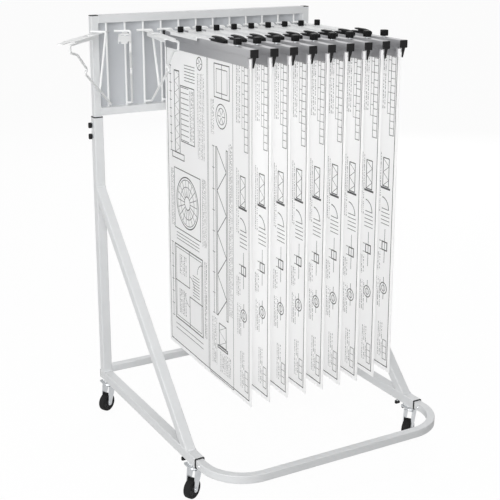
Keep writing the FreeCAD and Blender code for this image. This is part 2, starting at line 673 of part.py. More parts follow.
def back_panel():
    """A thin sheet of shallow flutes, one between each pair of rods, with crests behind the rods."""
    pitch = size("pivot_pitch")
    depth = size("flute_depth")
    crest = size("flute_crest")
    thick = size("panel_sheet")
    half_width = size("clear_width") / 2
    count = int(size("pivot_count"))
    crests = [size("first_pivot") + pitch * index for index in range(count)]
    bows = [(left, right, depth) for left, right in zip(crests, crests[1:])]
    edge_bow = depth * (half_width - crests[-1]) / pitch
    bows = [(-half_width, crests[0], edge_bow)] + bows + [(crests[-1], half_width, edge_bow)]

    def wave(y_shift):
        edges = []
        for left, right, bow in bows:
            middle = Vector((left + right) / 2, crest + y_shift + bow, 0)
            edges.append(Part.Arc(Vector(left, crest + y_shift, 0), middle,
                                  Vector(right, crest + y_shift, 0)).toShape())
        return edges

    front = wave(0)
    rear = wave(thick)
    ends = []
    for end in (-half_width, half_width):
        ends.append(Part.LineSegment(Vector(end, crest, 0), Vector(end, crest + thick, 0)).toShape())
    section = Part.Wire(Part.__sortEdges__(front + rear + ends))
    height = size("top_rail_foot - bottom_rail_top")
    panel = doc.addObject("Part::Feature", "fluted_panel")
    panel.Shape = Part.Face(section).extrude(Vector(0, 0, height))
    place(panel, z="bottom_rail_top")
    keep(panel, "back_panel")


def pivot_bushes():
    """A flanged plastic bush for each end of each rod."""
    bush = new_body("bush")
    profile = sketch_on(bush, "XZ_Plane", "bush_profile")
    outline(profile, (
        ("bush_bore / 2", "0 - rail_wall"),
        ("bush_neck / 2", "0 - rail_wall"),
        ("bush_neck / 2", "0"),
        ("bush_flange / 2", "0"),
        ("bush_flange / 2", "bush_thickness"),
        ("bush_bore / 2", "bush_thickness"),
    ))
    revolve(bush, "bush_turn", profile)
    row = []
    for index in range(int(size("pivot_count"))):
        at = "first_pivot + %d * pivot_pitch" % index
        row.append(copy_of(bush, "lower_bush_%d" % (index + 1), x=at, z="bottom_rail_top"))
        row.append(copy_of(bush, "upper_bush_%d" % (index + 1), x=at, z="top_rail_foot",
                           turn="180", axis=Vector(1, 0, 0)))
    keep(group("bushes", row), "pivot_bushes")


# ---- hanger arms --------------------------------------------------------------------------------

def hanger_arm():
    """One arm, straight ahead of its rod: folded plate, rod, stop bar with strut, bracing wire."""
    plate = new_body("arm_plate")
    top = sketch_on(plate, "XY_Plane", "arm_outline", "arm_under")
    right_side = (
        ("neck_width / 2", "neck_rear"),
        ("neck_width / 2", "0 - neck_length"),
        ("half_arm", "0 - arm_shoulder"),
        ("half_arm", "0 - arm_front"),
        ("half_tongue", "half_tongue - half_arm - arm_front"),
        ("half_tongue", "half_tongue / 2 - tongue_end"),
        ("half_tongue / 2", "0 - tongue_end"),
    )
    left_side = [("0 - " + x, y) for x, y in reversed(right_side)]
    outline(top, list(right_side) + left_side)
    pad(plate, "arm_sheet_metal", top, "arm_sheet")
    folds = sketch_on(plate, "XY_Plane", "arm_flange_outline", "arm_top - arm_flange")
    rectangle(folds, "half_arm - arm_flange_sheet", "half_arm", "0 - arm_front", "0 - arm_shoulder")
    rectangle(folds, "0 - half_arm", "arm_flange_sheet - half_arm", "0 - arm_front", "0 - arm_shoulder")
    pad(plate, "arm_flanges", folds, "arm_flange - arm_sheet / 2")
    window = sketch_on(plate, "XY_Plane", "arm_window_outline", "arm_top + cut_margin")
    rectangle(window, "0 - window_width / 2", "window_width / 2", "0 - window_front", "0 - window_rear")
    pocket(plate, "arm_window", window, "arm_sheet + 2 * cut_margin")

    seat = sketch_on(plate, "XY_Plane", "stop_seat_outline", "arm_top + cut_margin")
    seat_reach = "(rod_radius + stop_seat_gap)"
    rectangle(seat, "0 - half_arm", "half_arm",
              "0 - stop_reach - " + seat_reach, seat_reach + " - stop_reach")
    pocket(plate, "stop_seat_groove", seat, "stop_seat + cut_margin")

    rod = doc.addObject("Part::Cylinder", "arm_rod")
    bind(rod, Radius="rod_radius", Height="rod_top - rod_foot")
    place(rod, z="rod_foot")

    side = "brace_side"
    foot = "bottom_rail_top + bush_thickness + wire_foot_gap + rod_radius"
    knot = (side, "0 - knot_reach", "arm_top - knot_depth")
    brace = bent_wire("arm_brace", (
        (side, "loop_start - arm_front", "arm_top - loop_drop"),
        (side, "0 - arm_front - loop_reach", "arm_top - loop_drop"),
        (side, "0 - arm_front - loop_heel", "arm_top - loop_depth"),
        (side, "crook_back - arm_front", "arm_top - crook_depth"),
        (side, "step_back - arm_front", "arm_top - step_depth"),
        (side, "step_front - arm_front", "arm_top - step_foot"),
        knot,
        (side, "0 - heel_reach", foot + " + heel_rise"),
        ("0", "0", foot),
    ), "loop_bend")

    bar_height = "arm_top - stop_seat + rod_radius - weld_sink"
    stop = bent_wire("arm_stop", (
        ("0 - stop_side", "0 - stop_reach", bar_height),
        (side, "0 - stop_reach", bar_height),
        knot,
    ), "stop_bend")

    arm = doc.addObject("Part::MultiFuse", "hanger_arm")
    arm.Shapes = [plate, rod, brace, stop]
    arm.Refine = True
    return arm


def clamp_extrusion():
    """A box beam over two jaws that close to a slit: the left one upright, the right one slanting."""
    beam = new_body("clamp_beam_body")
    box = sketch_on(beam, "XZ_Plane", "clamp_box_section", "clamp_rear + rear_cap")
    rectangle(box, "0 - half_clamp", "half_clamp", "beam_foot", "clamp_top")
    rectangle(box, "clamp_wall - half_clamp", "half_clamp - clamp_wall",
              "beam_foot + clamp_wall", "clamp_top - clamp_wall")
    pad(beam, "clamp_box", box, "clamp_front - front_cap - clamp_rear - rear_cap")
    jaws = sketch_on(beam, "XZ_Plane", "clamp_jaw_section", "clamp_rear + rear_cap")
    outline(jaws, (
        ("half_clamp", "beam_foot"),
        ("slit_right + jaw_lip", "clamp_foot"),
        ("slit_right", "clamp_foot"),
        ("slit_right", "slit_top"),
        ("slit_left", "slit_top"),
        ("slit_left", "clamp_foot"),
        ("0 - half_clamp", "clamp_foot"),
        ("0 - half_clamp", "beam_foot"),
    ))
    pad(beam, "clamp_jaws", jaws, "clamp_front - front_cap - jaw_setback - clamp_rear - rear_cap")
    return beam


def clamp_caps():
    """The plastic caps on the beam's ends; the front one has a wedge beside the drawings' edge."""
    rear = new_body("rear_clamp_cap")
    block = sketch_on(rear, "XZ_Plane", "rear_clamp_cap_outline", "clamp_rear")
    rectangle(block, "0 - half_clamp", "half_clamp", "beam_foot", "clamp_top")
    pad(rear, "rear_clamp_cap_block", block, "rear_cap")
    front = new_body("front_clamp_cap")
    end_view = sketch_on(front, "XZ_Plane", "front_clamp_cap_outline", "clamp_front - front_cap")
    outline(end_view, (
        ("half_clamp", "clamp_top"),
        ("half_clamp", "beam_foot"),
        ("slit_right + wedge_width", "beam_foot"),
        ("slit_right + jaw_lip", "clamp_foot"),
        ("slit_right", "clamp_foot"),
        ("slit_right", "beam_foot"),
        ("0 - half_clamp", "beam_foot"),
        ("0 - half_clamp", "clamp_top"),
    ))
    pad(front, "front_clamp_cap_block", end_view, "front_cap")
    return [rear, front]


def clamp_knob(name, reach, lift):
    """A square knob on a round stem that stands on the beam."""
    knob = new_body(name)
    stem = sketch_on(knob, "XY_Plane", name + "_stem_outline")
    circle(stem, "0", "0", "knob_stem")
    pad(knob, name + "_stem", stem, lift + " + knob_height / 2")
    head = sketch_on(knob, "XY_Plane", name + "_head_outline", lift)
    rounded_rectangle(head, "knob_side", "knob_side", "knob_corner")
    pad(knob, name + "_head", head, "knob_height")
    return place(knob, y="0 - " + reach, z="clamp_top")


def clamp_lever():
    """The locking lever, whose thin tip lies on the arm's tongue."""
    lever = new_body("clamp_lever")
    side_view = sketch_on(lever, "YZ_Plane", "clamp_lever_outline")
    tip_foot = "arm_sheet + 2 * clamp_gap"
    outline(side_view, (
        ("0 - lever_front", "0"),
        ("0 - lever_rear", "0"),
        ("0 - lever_rear", tip_foot),
        ("0 - lever_tip", tip_foot),
        ("0 - lever_tip", tip_foot + " + arm_sheet"),
        ("0 - lever_rear", tip_foot + " + arm_sheet"),
        ("0 - (lever_front + lever_rear) / 2", "lever_height"),
        ("0 - lever_front", "lever_nose"),
    ))
    pad(lever, "clamp_lever_pad", side_view, "lever_width", midplane=True)
    return place(lever, z="clamp_top")


def hanging_clamp():
    """One clamp under its arm: extrusion, two end caps, two knobs and the lever."""
    pieces = [clamp_extrusion()] + clamp_caps()
    pieces.append(clamp_knob("rear_knob_body", "rear_knob", "clamp_gap + arm_sheet + clamp_gap"))
    pieces.append(clamp_knob("front_knob_body", "front_knob", "front_knob_lift"))
    pieces.append(clamp_lever())
    return group("hanging_clamp", pieces)


def plan_sheets():
    """One pack of drawings, held by its upper edge between the jaws."""
    pack = doc.addObject("Part::Box", "plan_sheets")
    bind(pack, Length="sheets_thickness", Width="sheets_front - sheets_rear",
         Height="sheets_top - sheets_foot")
    place(pack, x="0 - slit_side - sheets_thickness / 2", y="0 - sheets_front", z="sheets_foot")
    return pack


def arms_clamps_and_sheets():
    """Twelve arms on their rods; a clamp and a pack of drawings on each loaded one."""
    arm = hanger_arm()
    clamp = hanging_clamp()
    pack = plan_sheets()
    turns = {1: "first_arm_turn", 2: "second_arm_turn", 3: "third_arm_turn"}
    for number in range(1, int(size("pivot_count")) + 1):
        at = "first_pivot + %d * pivot_pitch" % (number - 1)
        turn = "0 - " + turns.get(number, "loaded_arm_turn")
        keep(copy_of(arm, "arm_%d" % number, x=at, turn=turn), "pivot_bracket_%d" % number)
        if number < LOADED_ARM_FIRST:
            continue
        place_number = number - LOADED_ARM_FIRST + 1
        keep(copy_of(clamp, "clamp_%d" % place_number, x=at, turn=turn), "hanging_clamp_%d" % place_number)
        keep(copy_of(pack, "sheets_%d" % place_number, x=at, turn=turn), "plan_sheets_%d" % place_number)


# ---- casters ------------------------------------------------------------------------------------

def caster_plate():
    """A flat plate under a side tube, bored for the king pin."""
    body = new_body("plate")
    section = sketch_on(body, "XY_Plane", "plate_outline", "plate_foot")
    rounded_rectangle(section, "plate_width", "plate_length", "plate_corner")
    circle(section, "0", "0", "king_pin + 2 * king_pin_clearance")
    pad(body, "plate_pad", section, "plate_thickness")
    return body


def caster_fork():
    """A pressed fork that trails along +X: crown with king pin, two tapered legs, riveted axle."""
    body = new_body("fork")
    crown = sketch_on(body, "XZ_Plane", "fork_crown_profile")
    outline(crown, (
        ("0", "fork_bridge"),
        ("fork_crown / 2 - crown_bevel", "fork_bridge"),
        ("fork_crown / 2", "fork_bridge + crown_bevel"),
        ("fork_crown / 2 - crown_taper", "crown_top"),
        ("king_pin / 2", "crown_top"),
        ("king_pin / 2", "side_bottom - swivel_gap"),
        ("0", "side_bottom - swivel_gap"),
    ))
    revolve(body, "fork_crown_turn", crown)
    legs = sketch_on(body, "XZ_Plane", "fork_leg_outline")
    outline(legs, (
        ("0 - fork_crown / 2 + crown_bevel", "fork_bridge + leg_root"),
        ("caster_trail - fork_foot / 2", "wheel_radius"),
        ("caster_trail + fork_foot / 2", "wheel_radius"),
        ("fork_crown / 2 - crown_bevel", "fork_bridge + leg_root"),
    ))
    pad(body, "fork_legs", legs, "fork_gap + 2 * fork_sheet", midplane=True)
    feet = sketch_on(body, "XZ_Plane", "fork_foot_outline")
    circle(feet, "caster_trail", "wheel_radius", "fork_foot")
    pad(body, "fork_feet", feet, "fork_gap + 2 * fork_sheet", midplane=True)
    heads = sketch_on(body, "XZ_Plane", "axle_head_outline")
    circle(heads, "caster_trail", "wheel_radius", "axle_head")
    pad(body, "axle_heads", heads, "fork_gap + 2 * fork_sheet + 2 * axle_head_height", midplane=True)
    gap = sketch_on(body, "XZ_Plane", "fork_gap_outline")
    rectangle(gap, "0 - fork_crown", "caster_trail + fork_crown", "0 - cut_margin", "fork_bridge")
    pocket(body, "fork_gap_cut", gap, "fork_gap", midplane=True)
    pin = sketch_on(body, "XZ_Plane", "axle_outline")
    circle(pin, "caster_trail", "wheel_radius", "axle")
    pad(body, "axle_pin", pin, "fork_gap + 2 * fork_sheet", midplane=True)
    return body


def caster_wheel():
    """A black wheel about the Y axis, with hub, web and bevelled tread."""
    body = new_body("wheel")
    profile = sketch_on(body, "XY_Plane", "wheel_profile")
    bore = "axle / 2 + axle_clearance"
    half = (
        (bore, "hub_width / 2"),
        ("hub_diameter / 2", "hub_width / 2"),
        ("hub_diameter / 2", "web_width / 2"),
        ("wheel_radius - rim_depth", "web_width / 2"),
        ("wheel_radius - rim_depth", "wheel_width / 2"),
        ("wheel_radius - wheel_chamfer", "wheel_width / 2"),
        ("wheel_radius", "wheel_width / 2 - wheel_chamfer"),
    )
    other = [(x, "0 - (%s)" % y) for x, y in reversed(half)]
    outline(profile, list(half) + other)
    revolve(body, "wheel_turn", profile)
    place(body, x="caster_trail", z="wheel_radius")
    return body


def casters():
    """Four swivel casters, all trailing the same way."""
    plate = caster_plate()
    fork = caster_fork()
    wheel = caster_wheel()
    plates = []
    for end, reach in (("front", "0 - front_swivel"), ("rear", "0 - rear_swivel")):
        for side, at in (("left", "0 - post_x"), ("right", "post_x")):
            spot = end + "_" + side
            plates.append(copy_of(plate, "plate_" + spot, x=at, y=reach))
            keep(copy_of(fork, "fork_" + spot, x=at, y=reach, turn="caster_turn"), "caster_fork_" + spot)
            keep(copy_of(wheel, "wheel_" + spot, x=at, y=reach, turn="caster_turn"), "caster_wheel_" + spot)
    keep(group("plates", plates), "caster_plates")


# ---- clamping screws ----------------------------------------------------------------------------

def clamping_screw(name, standoff):
    """A screw with a flat wing head; its tip is at the origin and its head lies along +Z."""
    body = new_body(name)
    shank = sketch_on(body, "XY_Plane", name + "_shank_outline")
    circle(shank, "0", "0", "screw")
    pad(body, name + "_shank", shank, "screw_entry + " + standoff + " + screw_head_height / 2")
    head = sketch_on(body, "XY_Plane", name + "_head_outline", "screw_entry + " + standoff)
    rounded_rectangle(head, "screw_head_length", "screw_head_width", "screw_head_corner")
    pad(body, name + "_head", head, "screw_head_height")
    return body


def nut():
    """A thin hexagon nut on the tube's face, bored clear of the screw."""
    body = new_body("nut")
    section = sketch_on(body, "XY_Plane", "nut_outline", "screw_entry - nut_height")
    turns = ["%d deg" % (60 * index) for index in range(6)]
    outline(section, [("nut_width / 2 * cos(%s)" % turn, "nut_width / 2 * sin(%s)" % turn) for turn in turns])
    circle(section, "0", "0", "screw_bore")
    pad(body, "nut_pad", section, "nut_height")
    return body


def clamping_screws():
    """Two screws through each post's outer face and two up through each side tube's underside."""
    post_screw = clamping_screw("post_screw", "post_screw_standoff")
    side_screw = clamping_screw("side_screw", "side_screw_standoff")
    hexagon = nut()
    nuts = []
    right = dict(turn="90", axis=Vector(0, 1, 0))
    left = dict(turn="0 - 90", axis=Vector(0, 1, 0))
    down = dict(turn="180", axis=Vector(1, 0, 0))
    seats = (
        ("post_left_upper", post_screw, dict(x="0 - post_screw_start", z="upper_screw", **left)),
        ("post_left_lower", post_screw, dict(x="0 - post_screw_start", z="lower_screw", **left)),
        ("post_right_upper", post_screw, dict(x="post_screw_start", z="upper_screw", **right)),
        ("post_right_lower", post_screw, dict(x="post_screw_start", z="lower_screw", **right)),
        ("side_left_front", side_screw,
         dict(x="0 - post_x", y="0 - front_screw", z="side_screw_start", **down)),
        ("side_left_rear", side_screw,
         dict(x="0 - post_x", y="0 - rear_screw", z="side_screw_start", **down)),
        ("side_right_front", side_screw,
         dict(x="post_x", y="0 - front_screw", z="side_screw_start", **down)),
        ("side_right_rear", side_screw,
         dict(x="post_x", y="0 - rear_screw", z="side_screw_start", **down)),
    )
    for spot, screw, where in seats:
        keep(copy_of(screw, "screw_" + spot, **where), "thumb_screw_" + spot)
        nuts.append(copy_of(hexagon, "nut_" + spot, **where))
    keep(group("nuts", nuts), "screw_nuts")


# ---- the whole rack -----------------------------------------------------------------------------

lower_posts()
side_tubes()
diagonal_braces()
rear_cross_bar()
tube_sleeves()
front_u_tube()
inner_posts()
rail("top_rail", "top_rail_foot", "0")
rail("bottom_rail", "panel_foot", "rail_height")
back_panel()
pivot_bushes()
arms_clamps_and_sheets()
casters()
clamping_screws()
doc.recompute()

for thing in doc.Objects:
    if "Invalid" in thing.State or "Error" in thing.State:
        raise RuntimeError("%s did not recompute: %s" % (thing.Name, thing.getStatusString()))
os.makedirs("parts", exist_ok=True)
for thing in nodes:
    if thing.Shape.isNull() or not thing.Shape.isValid():
        raise RuntimeError("%s has no valid shape" % thing.Label)
for thing in nodes:
    thing.Shape.exportStep("parts/%s.step" % thing.Label)
print(len(nodes), "nodes written")
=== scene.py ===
# %% [markdown]
# # A plan hanging rack
#
# The rack is a welded frame of painted square tube on four casters. A panel frame slides up and
# down in its posts, a tube bent to a U slides out in front, and twelve hanger arms swing on upright
# rods in front of a fluted panel. Nine of the arms carry an aluminium clamp with a pack of drawings.
#
# The solids come from CAD and already stand where they belong. This lesson gives them their finish,
# and rebuilds as finer meshes what a plain solid can't show: paper, clamps, knobs, wheels, screws.
# The weld beads, snap buttons and swivel races are made here too.

# %% Load the frame
import json
import math
import random

import bmesh
import bpy
from mathutils import Matrix, Vector


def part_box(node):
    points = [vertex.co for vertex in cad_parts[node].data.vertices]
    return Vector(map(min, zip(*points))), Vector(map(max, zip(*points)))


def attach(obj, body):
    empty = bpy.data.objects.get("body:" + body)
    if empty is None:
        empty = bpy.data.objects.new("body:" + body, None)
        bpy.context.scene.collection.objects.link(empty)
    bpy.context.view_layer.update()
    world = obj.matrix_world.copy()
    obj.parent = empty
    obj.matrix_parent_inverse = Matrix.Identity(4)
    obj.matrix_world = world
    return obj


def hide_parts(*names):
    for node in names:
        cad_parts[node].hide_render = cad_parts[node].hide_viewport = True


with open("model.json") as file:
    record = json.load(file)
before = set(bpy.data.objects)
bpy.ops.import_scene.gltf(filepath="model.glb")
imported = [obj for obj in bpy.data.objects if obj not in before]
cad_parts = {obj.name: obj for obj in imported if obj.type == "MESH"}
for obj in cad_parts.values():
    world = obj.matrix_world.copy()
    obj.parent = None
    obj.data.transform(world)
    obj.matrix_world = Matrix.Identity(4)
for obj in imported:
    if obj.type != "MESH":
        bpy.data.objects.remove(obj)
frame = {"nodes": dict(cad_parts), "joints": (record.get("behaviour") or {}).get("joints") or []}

MM = 0.001
FULL_TURN = 2 * math.pi
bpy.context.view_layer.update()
nodes = frame["nodes"]
joints = {joint["name"]: joint for joint in frame["joints"]}

# %% [markdown]
# ## Small tools for making meshes
#
# Most pieces of the rack are either extruded, turned on a lathe or bent from a flat sheet. One
# helper for each keeps the later cells short. Every mesh is written in metres at its real place,
# because a piece that rides on a body must not carry an object transform of its own.

# %% A shape that grows into a piece
SHARP_EDGE = math.radians(35)


class Shape:
    """Vertices and faces that several helpers add to before they become one piece."""

    def __init__(self):
        self.vertices = []
        self.faces = []
        self.slots = []

    def add(self, vertices, faces, slot=0):
        first = len(self.vertices)
        self.vertices += [Vector(point) for point in vertices]
        self.faces += [tuple(first + corner for corner in face) for face in faces]
        self.slots += [slot] * len(faces)

    def move(self, matrix):
        self.vertices = [matrix @ point for point in self.vertices]
        return self

    def join(self, other, matrix=None):
        moved = other.vertices if matrix is None else [matrix @ point for point in other.vertices]
        first = len(self.vertices)
        self.vertices += moved
        self.faces += [tuple(first + corner for corner in face) for face in other.faces]
        self.slots += other.slots

    def build(self, name, materials, body, slot):
        """A mesh object that rides on a body and wears the given materials; slot is not used."""
        mesh = bpy.data.meshes.new(name)
        mesh.from_pydata([tuple(point) for point in self.vertices], [], self.faces)
        for material in materials:
            mesh.materials.append(material)
        outward = bmesh.new()
        outward.from_mesh(mesh)
        bmesh.ops.recalc_face_normals(outward, faces=outward.faces)
        outward.to_mesh(mesh)
        outward.free()
        mesh.shade_smooth()
        mesh.set_sharp_from_angle(angle=SHARP_EDGE)
        mesh.polygons.foreach_set("material_index", self.slots)
        piece = bpy.data.objects.new(name, mesh)
        bpy.context.scene.collection.objects.link(piece)
        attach(piece, body)
        return piece


print("edges stay sharp from", round(math.degrees(SHARP_EDGE)), "degrees")


# %% Extruded outlines and turned profiles
def extrude(shape, outline, near, far, slot=0):
    """A closed outline of (x, z) points pushed from y = near to y = far, with both ends closed."""
    count = len(outline)
    vertices = [(x, y, z) for y in (near, far) for x, z in outline]
    faces = [(i, (i + 1) % count, count + (i + 1) % count, count + i) for i in range(count)]
    faces += [tuple(reversed(range(count))), tuple(range(count, 2 * count))]
    shape.add(vertices, faces, slot)


def lathe(shape, profile, steps, slot=0):
    """A profile of (radius, height) points turned about Z; a radius of zero closes an end."""
    vertices = []
    rings = []
    for radius, height in profile:
        if radius == 0:
            rings.append([len(vertices)])
            vertices.append((0, 0, height))
            continue
        rings.append([len(vertices) + step for step in range(steps)])
        for step in range(steps):
            angle = FULL_TURN * step / steps
            vertices.append((radius * math.cos(angle), radius * math.sin(angle), height))
    faces = []
    for lower, upper in zip(rings, rings[1:]):
        for step in range(steps):
            after = (step + 1) % steps
            if len(lower) == 1:
                faces.append((lower[0], upper[after], upper[step]))
            elif len(upper) == 1:
                faces.append((lower[step], lower[after], upper[0]))
            else:
                faces.append((lower[step], lower[after], upper[after], upper[step]))
    shape.add(vertices, faces, slot)


trial = Shape()
lathe(trial, [(0, 0), (1, 0), (0, 1)], 12)
print("a cone with 12 sides has", len(trial.faces), "faces")


# %% Round corners and lofts
def rounded(width, depth, corner, steps=4):
    """The points of a rectangle with round corners, counter-clockwise about its middle."""
    points = []
    for quarter, (sign_x, sign_y) in enumerate(((1, 1), (-1, 1), (-1, -1), (1, -1))):
        middle_x = sign_x * (width / 2 - corner)
        middle_y = sign_y * (depth / 2 - corner)
        for step in range(steps + 1):
            angle = math.pi / 2 * (quarter + step / steps)
            points.append((middle_x + corner * math.cos(angle), middle_y + corner * math.sin(angle)))
    return points


def loft(shape, layers, slot=0):
    """Rings of equally many points joined one after the other, with both ends closed."""
    count = len(layers[0])
    last = (len(layers) - 1) * count
    faces = []
    for low in range(0, last, count):
        for i in range(count):
            after = (i + 1) % count
            faces.append((low + i, low + after, low + count + after, low + count + i))
    faces += [tuple(reversed(range(count))), tuple(range(last, last + count))]
    shape.add([point for layer in layers for point in layer], faces, slot)


print("a rectangle with round corners has", len(rounded(2, 1, 0.2)), "points")

# %% [markdown]
# ## Shader tools
#
# A material is a small tree of nodes. `wire` sets or links the inputs of a new node, so that a tree
# can be written as nested calls. Effects that several finishes share, such as the orange peel of
# powder coat, become node groups that put out a height or a mask and are wired into each material.


# %% Nodes and their links
def wire(tree, node, **inputs):
    """Sets or links inputs by name, with _ for a space, or by number, as i0 for the first."""
    for name, value in inputs.items():
        key = int(name[1:]) if name[0] == "i" and name[1:].isdigit() else name.replace("_", " ")
        socket = node.inputs[key]
        if isinstance(value, bpy.types.NodeSocket):
            tree.links.new(value, socket)
        else:
            socket.default_value = value


def add_node(tree, kind, **inputs):
    """A new node; each named input is set to a value or linked to a socket."""
    node = tree.nodes.new(kind)
    wire(tree, node, **inputs)
    return node


def maths(tree, operation, *values):
    """A Math node's result; each value is a number or a socket."""
    node = tree.nodes.new("ShaderNodeMath")
    node.operation = operation
    wire(tree, node, **{"i%d" % index: value for index, value in enumerate(values)})
    return node.outputs[0]


def mix_colour(tree, share, low, high):
    """The colour that lies between low and high by a share from 0 to 1."""
    node = tree.nodes.new("ShaderNodeMix")
    node.data_type = "RGBA"
    wire(tree, node, i0=share, i6=low, i7=high)
    return node.outputs[2]


print("wire takes numbers, colours and sockets")


# %% Groups and materials
def new_group(name, inputs, outputs):
    """An empty node group with float or vector sockets, and its two end nodes."""
    group = bpy.data.node_groups.new(name, "ShaderNodeTree")
    for label, kind, value in inputs:
        socket = group.interface.new_socket(label, in_out="INPUT", socket_type="NodeSocket" + kind)
        if value is not None:
            socket.default_value = value
    for label, kind in outputs:
        group.interface.new_socket(label, in_out="OUTPUT", socket_type="NodeSocket" + kind)
    return group, group.nodes.new("NodeGroupInput"), group.nodes.new("NodeGroupOutput")


def use_group(tree, group, **inputs):
    """A group placed in a tree with its own values."""
    node = tree.nodes.new("ShaderNodeGroup")
    node.node_tree = group
    wire(tree, node, **inputs)
    return node


def new_material(name):
    """A material with its Principled shader; returns the material, its tree and the shader."""
    material = bpy.data.materials.new(name)
    material.use_nodes = True
    return material, material.node_tree, material.node_tree.nodes["Principled BSDF"]


def place_of(tree):
    """Where a point of the surface is, in metres, in the object's own space."""
    return tree.nodes.new("ShaderNodeTexCoord").outputs["Object"]


print("materials before the finishes:", len(bpy.data.materials))

# %% Shared effects
peel, ends_in, ends_out = new_group(
    "orange_peel",
    [("Point", "Vector", None), ("Size", "Float", 900.0), ("Blotch Size", "Float", 14.0)],
    [("Height", "Float"), ("Blotch", "Float")])
fine = add_node(peel, "ShaderNodeTexNoise", Vector=ends_in.outputs["Point"],
                Scale=ends_in.outputs["Size"], Detail=2.0)
broad = add_node(peel, "ShaderNodeTexNoise", Vector=ends_in.outputs["Point"],
                 Scale=ends_in.outputs["Blotch Size"], Detail=3.0)
wire(peel, ends_out, Height=fine.outputs[0], Blotch=broad.outputs[0])

brush, ends_in, ends_out = new_group(
    "brushed_lines",
    [("Point", "Vector", None), ("Along", "Float", 6.0), ("Across", "Float", 1800.0)],
    [("Height", "Float")])
stretch = add_node(brush, "ShaderNodeCombineXYZ", X=ends_in.outputs["Along"],
                   Y=ends_in.outputs["Across"], Z=0.0)
scaled = brush.nodes.new("ShaderNodeVectorMath")
scaled.operation = "MULTIPLY"
wire(brush, scaled, i0=ends_in.outputs["Point"], i1=stretch.outputs[0])
lines = add_node(brush, "ShaderNodeTexNoise", Vector=scaled.outputs[0], Scale=1.0, Detail=3.0)
wire(brush, ends_out, Height=lines.outputs[0])
print("groups:", peel.name, brush.name)

# %% [markdown]
# ## Finishes
#
# Powder coat is a satin paint with a fine orange peel and hardly any change of colour. Moulded
# plastic has a finer grain, zinc plate a soft cloudy shine, and the clamps are brushed along their
# length. Colours are written as the eye sees them and turned into linear light by `seen`.

# %% Colours and coats
ROUGH_DRIFT = 0.05
RELIEF_DEPTH = 0.2 * MM


def seen(red, green, blue):
    """A colour given on the screen's scale of 0 to 255, as linear light."""
    linear = []
    for part in (red / 255, green / 255, blue / 255):
        linear.append(part / 12.92 if part < 0.04045 else ((part + 0.055) / 1.055) ** 2.4)
    return (*linear, 1.0)


def coated(name, light, dark, rough, peel_size=900.0, bump=0.12, metallic=0.0, blotch=14.0, shine=0.5):
    """A finish that drifts between two close colours and has a fine bump."""
    material, tree, shader = new_material(name)
    shader.inputs["Specular IOR Level"].default_value = shine
    effect = use_group(tree, peel, Point=place_of(tree), Size=peel_size, Blotch_Size=blotch)
    drift = effect.outputs["Blotch"]
    wire(tree, shader, Base_Color=mix_colour(tree, drift, seen(*dark), seen(*light)))
    rough_map = add_node(tree, "ShaderNodeMapRange", Value=drift,
                         To_Min=rough - ROUGH_DRIFT, To_Max=rough + ROUGH_DRIFT)
    wire(tree, shader, Roughness=rough_map.outputs[0], Metallic=metallic)
    relief = add_node(tree, "ShaderNodeBump", Height=effect.outputs["Height"],
                      Strength=bump, Distance=RELIEF_DEPTH)
    wire(tree, shader, Normal=relief.outputs[0])
    return material


print("mid grey as linear light:", [round(part, 3) for part in seen(128, 128, 128)[:3]])

# %% Paint, plastic and metal
PLASTIC_GRAIN = 2500.0
grey_paint = coated("grey_powder_coat", (222, 223, 224), (214, 216, 217), 0.42)
panel_paint = coated("panel_powder_coat", (191, 193, 196), (181, 184, 188), 0.3)
wire_paint = coated("white_powder_coat", (236, 237, 237), (230, 231, 231), 0.36)
black_plastic = coated("black_plastic", (34, 34, 35), (24, 24, 25), 0.5,
                       peel_size=PLASTIC_GRAIN, shine=0.2)
knob_plastic = coated("glossy_black_plastic", (13, 13, 14), (9, 9, 10), 0.3,
                      peel_size=PLASTIC_GRAIN, bump=0.04, shine=0.12)
lever_plastic = coated("satin_black_plastic", (26, 26, 27), (20, 20, 21), 0.45,
                       peel_size=PLASTIC_GRAIN, bump=0.06, shine=0.08)
grey_plastic = coated("grey_plastic", (212, 213, 213), (200, 201, 202), 0.45, peel_size=PLASTIC_GRAIN)
zinc = coated("zinc_plate", (214, 216, 218), (182, 185, 188), 0.3, bump=0.05, metallic=1.0, blotch=90.0)
steel_button = coated("polished_button", (232, 233, 235), (220, 222, 224), 0.2, bump=0.02, metallic=1.0)
tread_rubber = coated("tread_rubber", (30, 30, 31), (20, 20, 21), 0.78,
                      peel_size=1600.0, bump=0.3, shine=0.25)
wheel_core = coated("wheel_core", (46, 46, 48), (34, 34, 36), 0.55, peel_size=2200.0, shine=0.3)
print("coats:", len(bpy.data.materials))

# %% Brushed aluminium
aluminium, tree, shader = new_material("brushed_aluminium")
strokes = use_group(tree, brush, Point=tree.nodes.new("ShaderNodeUVMap").outputs[0]).outputs[0]
wire(tree, shader, Metallic=1.0)
wire(tree, shader, Base_Color=mix_colour(tree, strokes, seen(178, 178, 180), seen(196, 196, 198)))
gloss = add_node(tree, "ShaderNodeMapRange", Value=strokes, To_Min=0.34, To_Max=0.5)
wire(tree, shader, Roughness=gloss.outputs[0])
relief = add_node(tree, "ShaderNodeBump", Height=strokes, Strength=0.12, Distance=RELIEF_DEPTH)
wire(tree, shader, Normal=relief.outputs[0])
print("finishes ready:", len(bpy.data.materials))

# %% Finish the CAD nodes that stay as they are
arm_numbers = [number for number in range(1, 100) if "pivot_bracket_%d" % number in nodes]


def finish_node(name, material):
    """Gives a CAD node its only material."""
    nodes[name].data.materials.clear()
    nodes[name].data.materials.append(material)


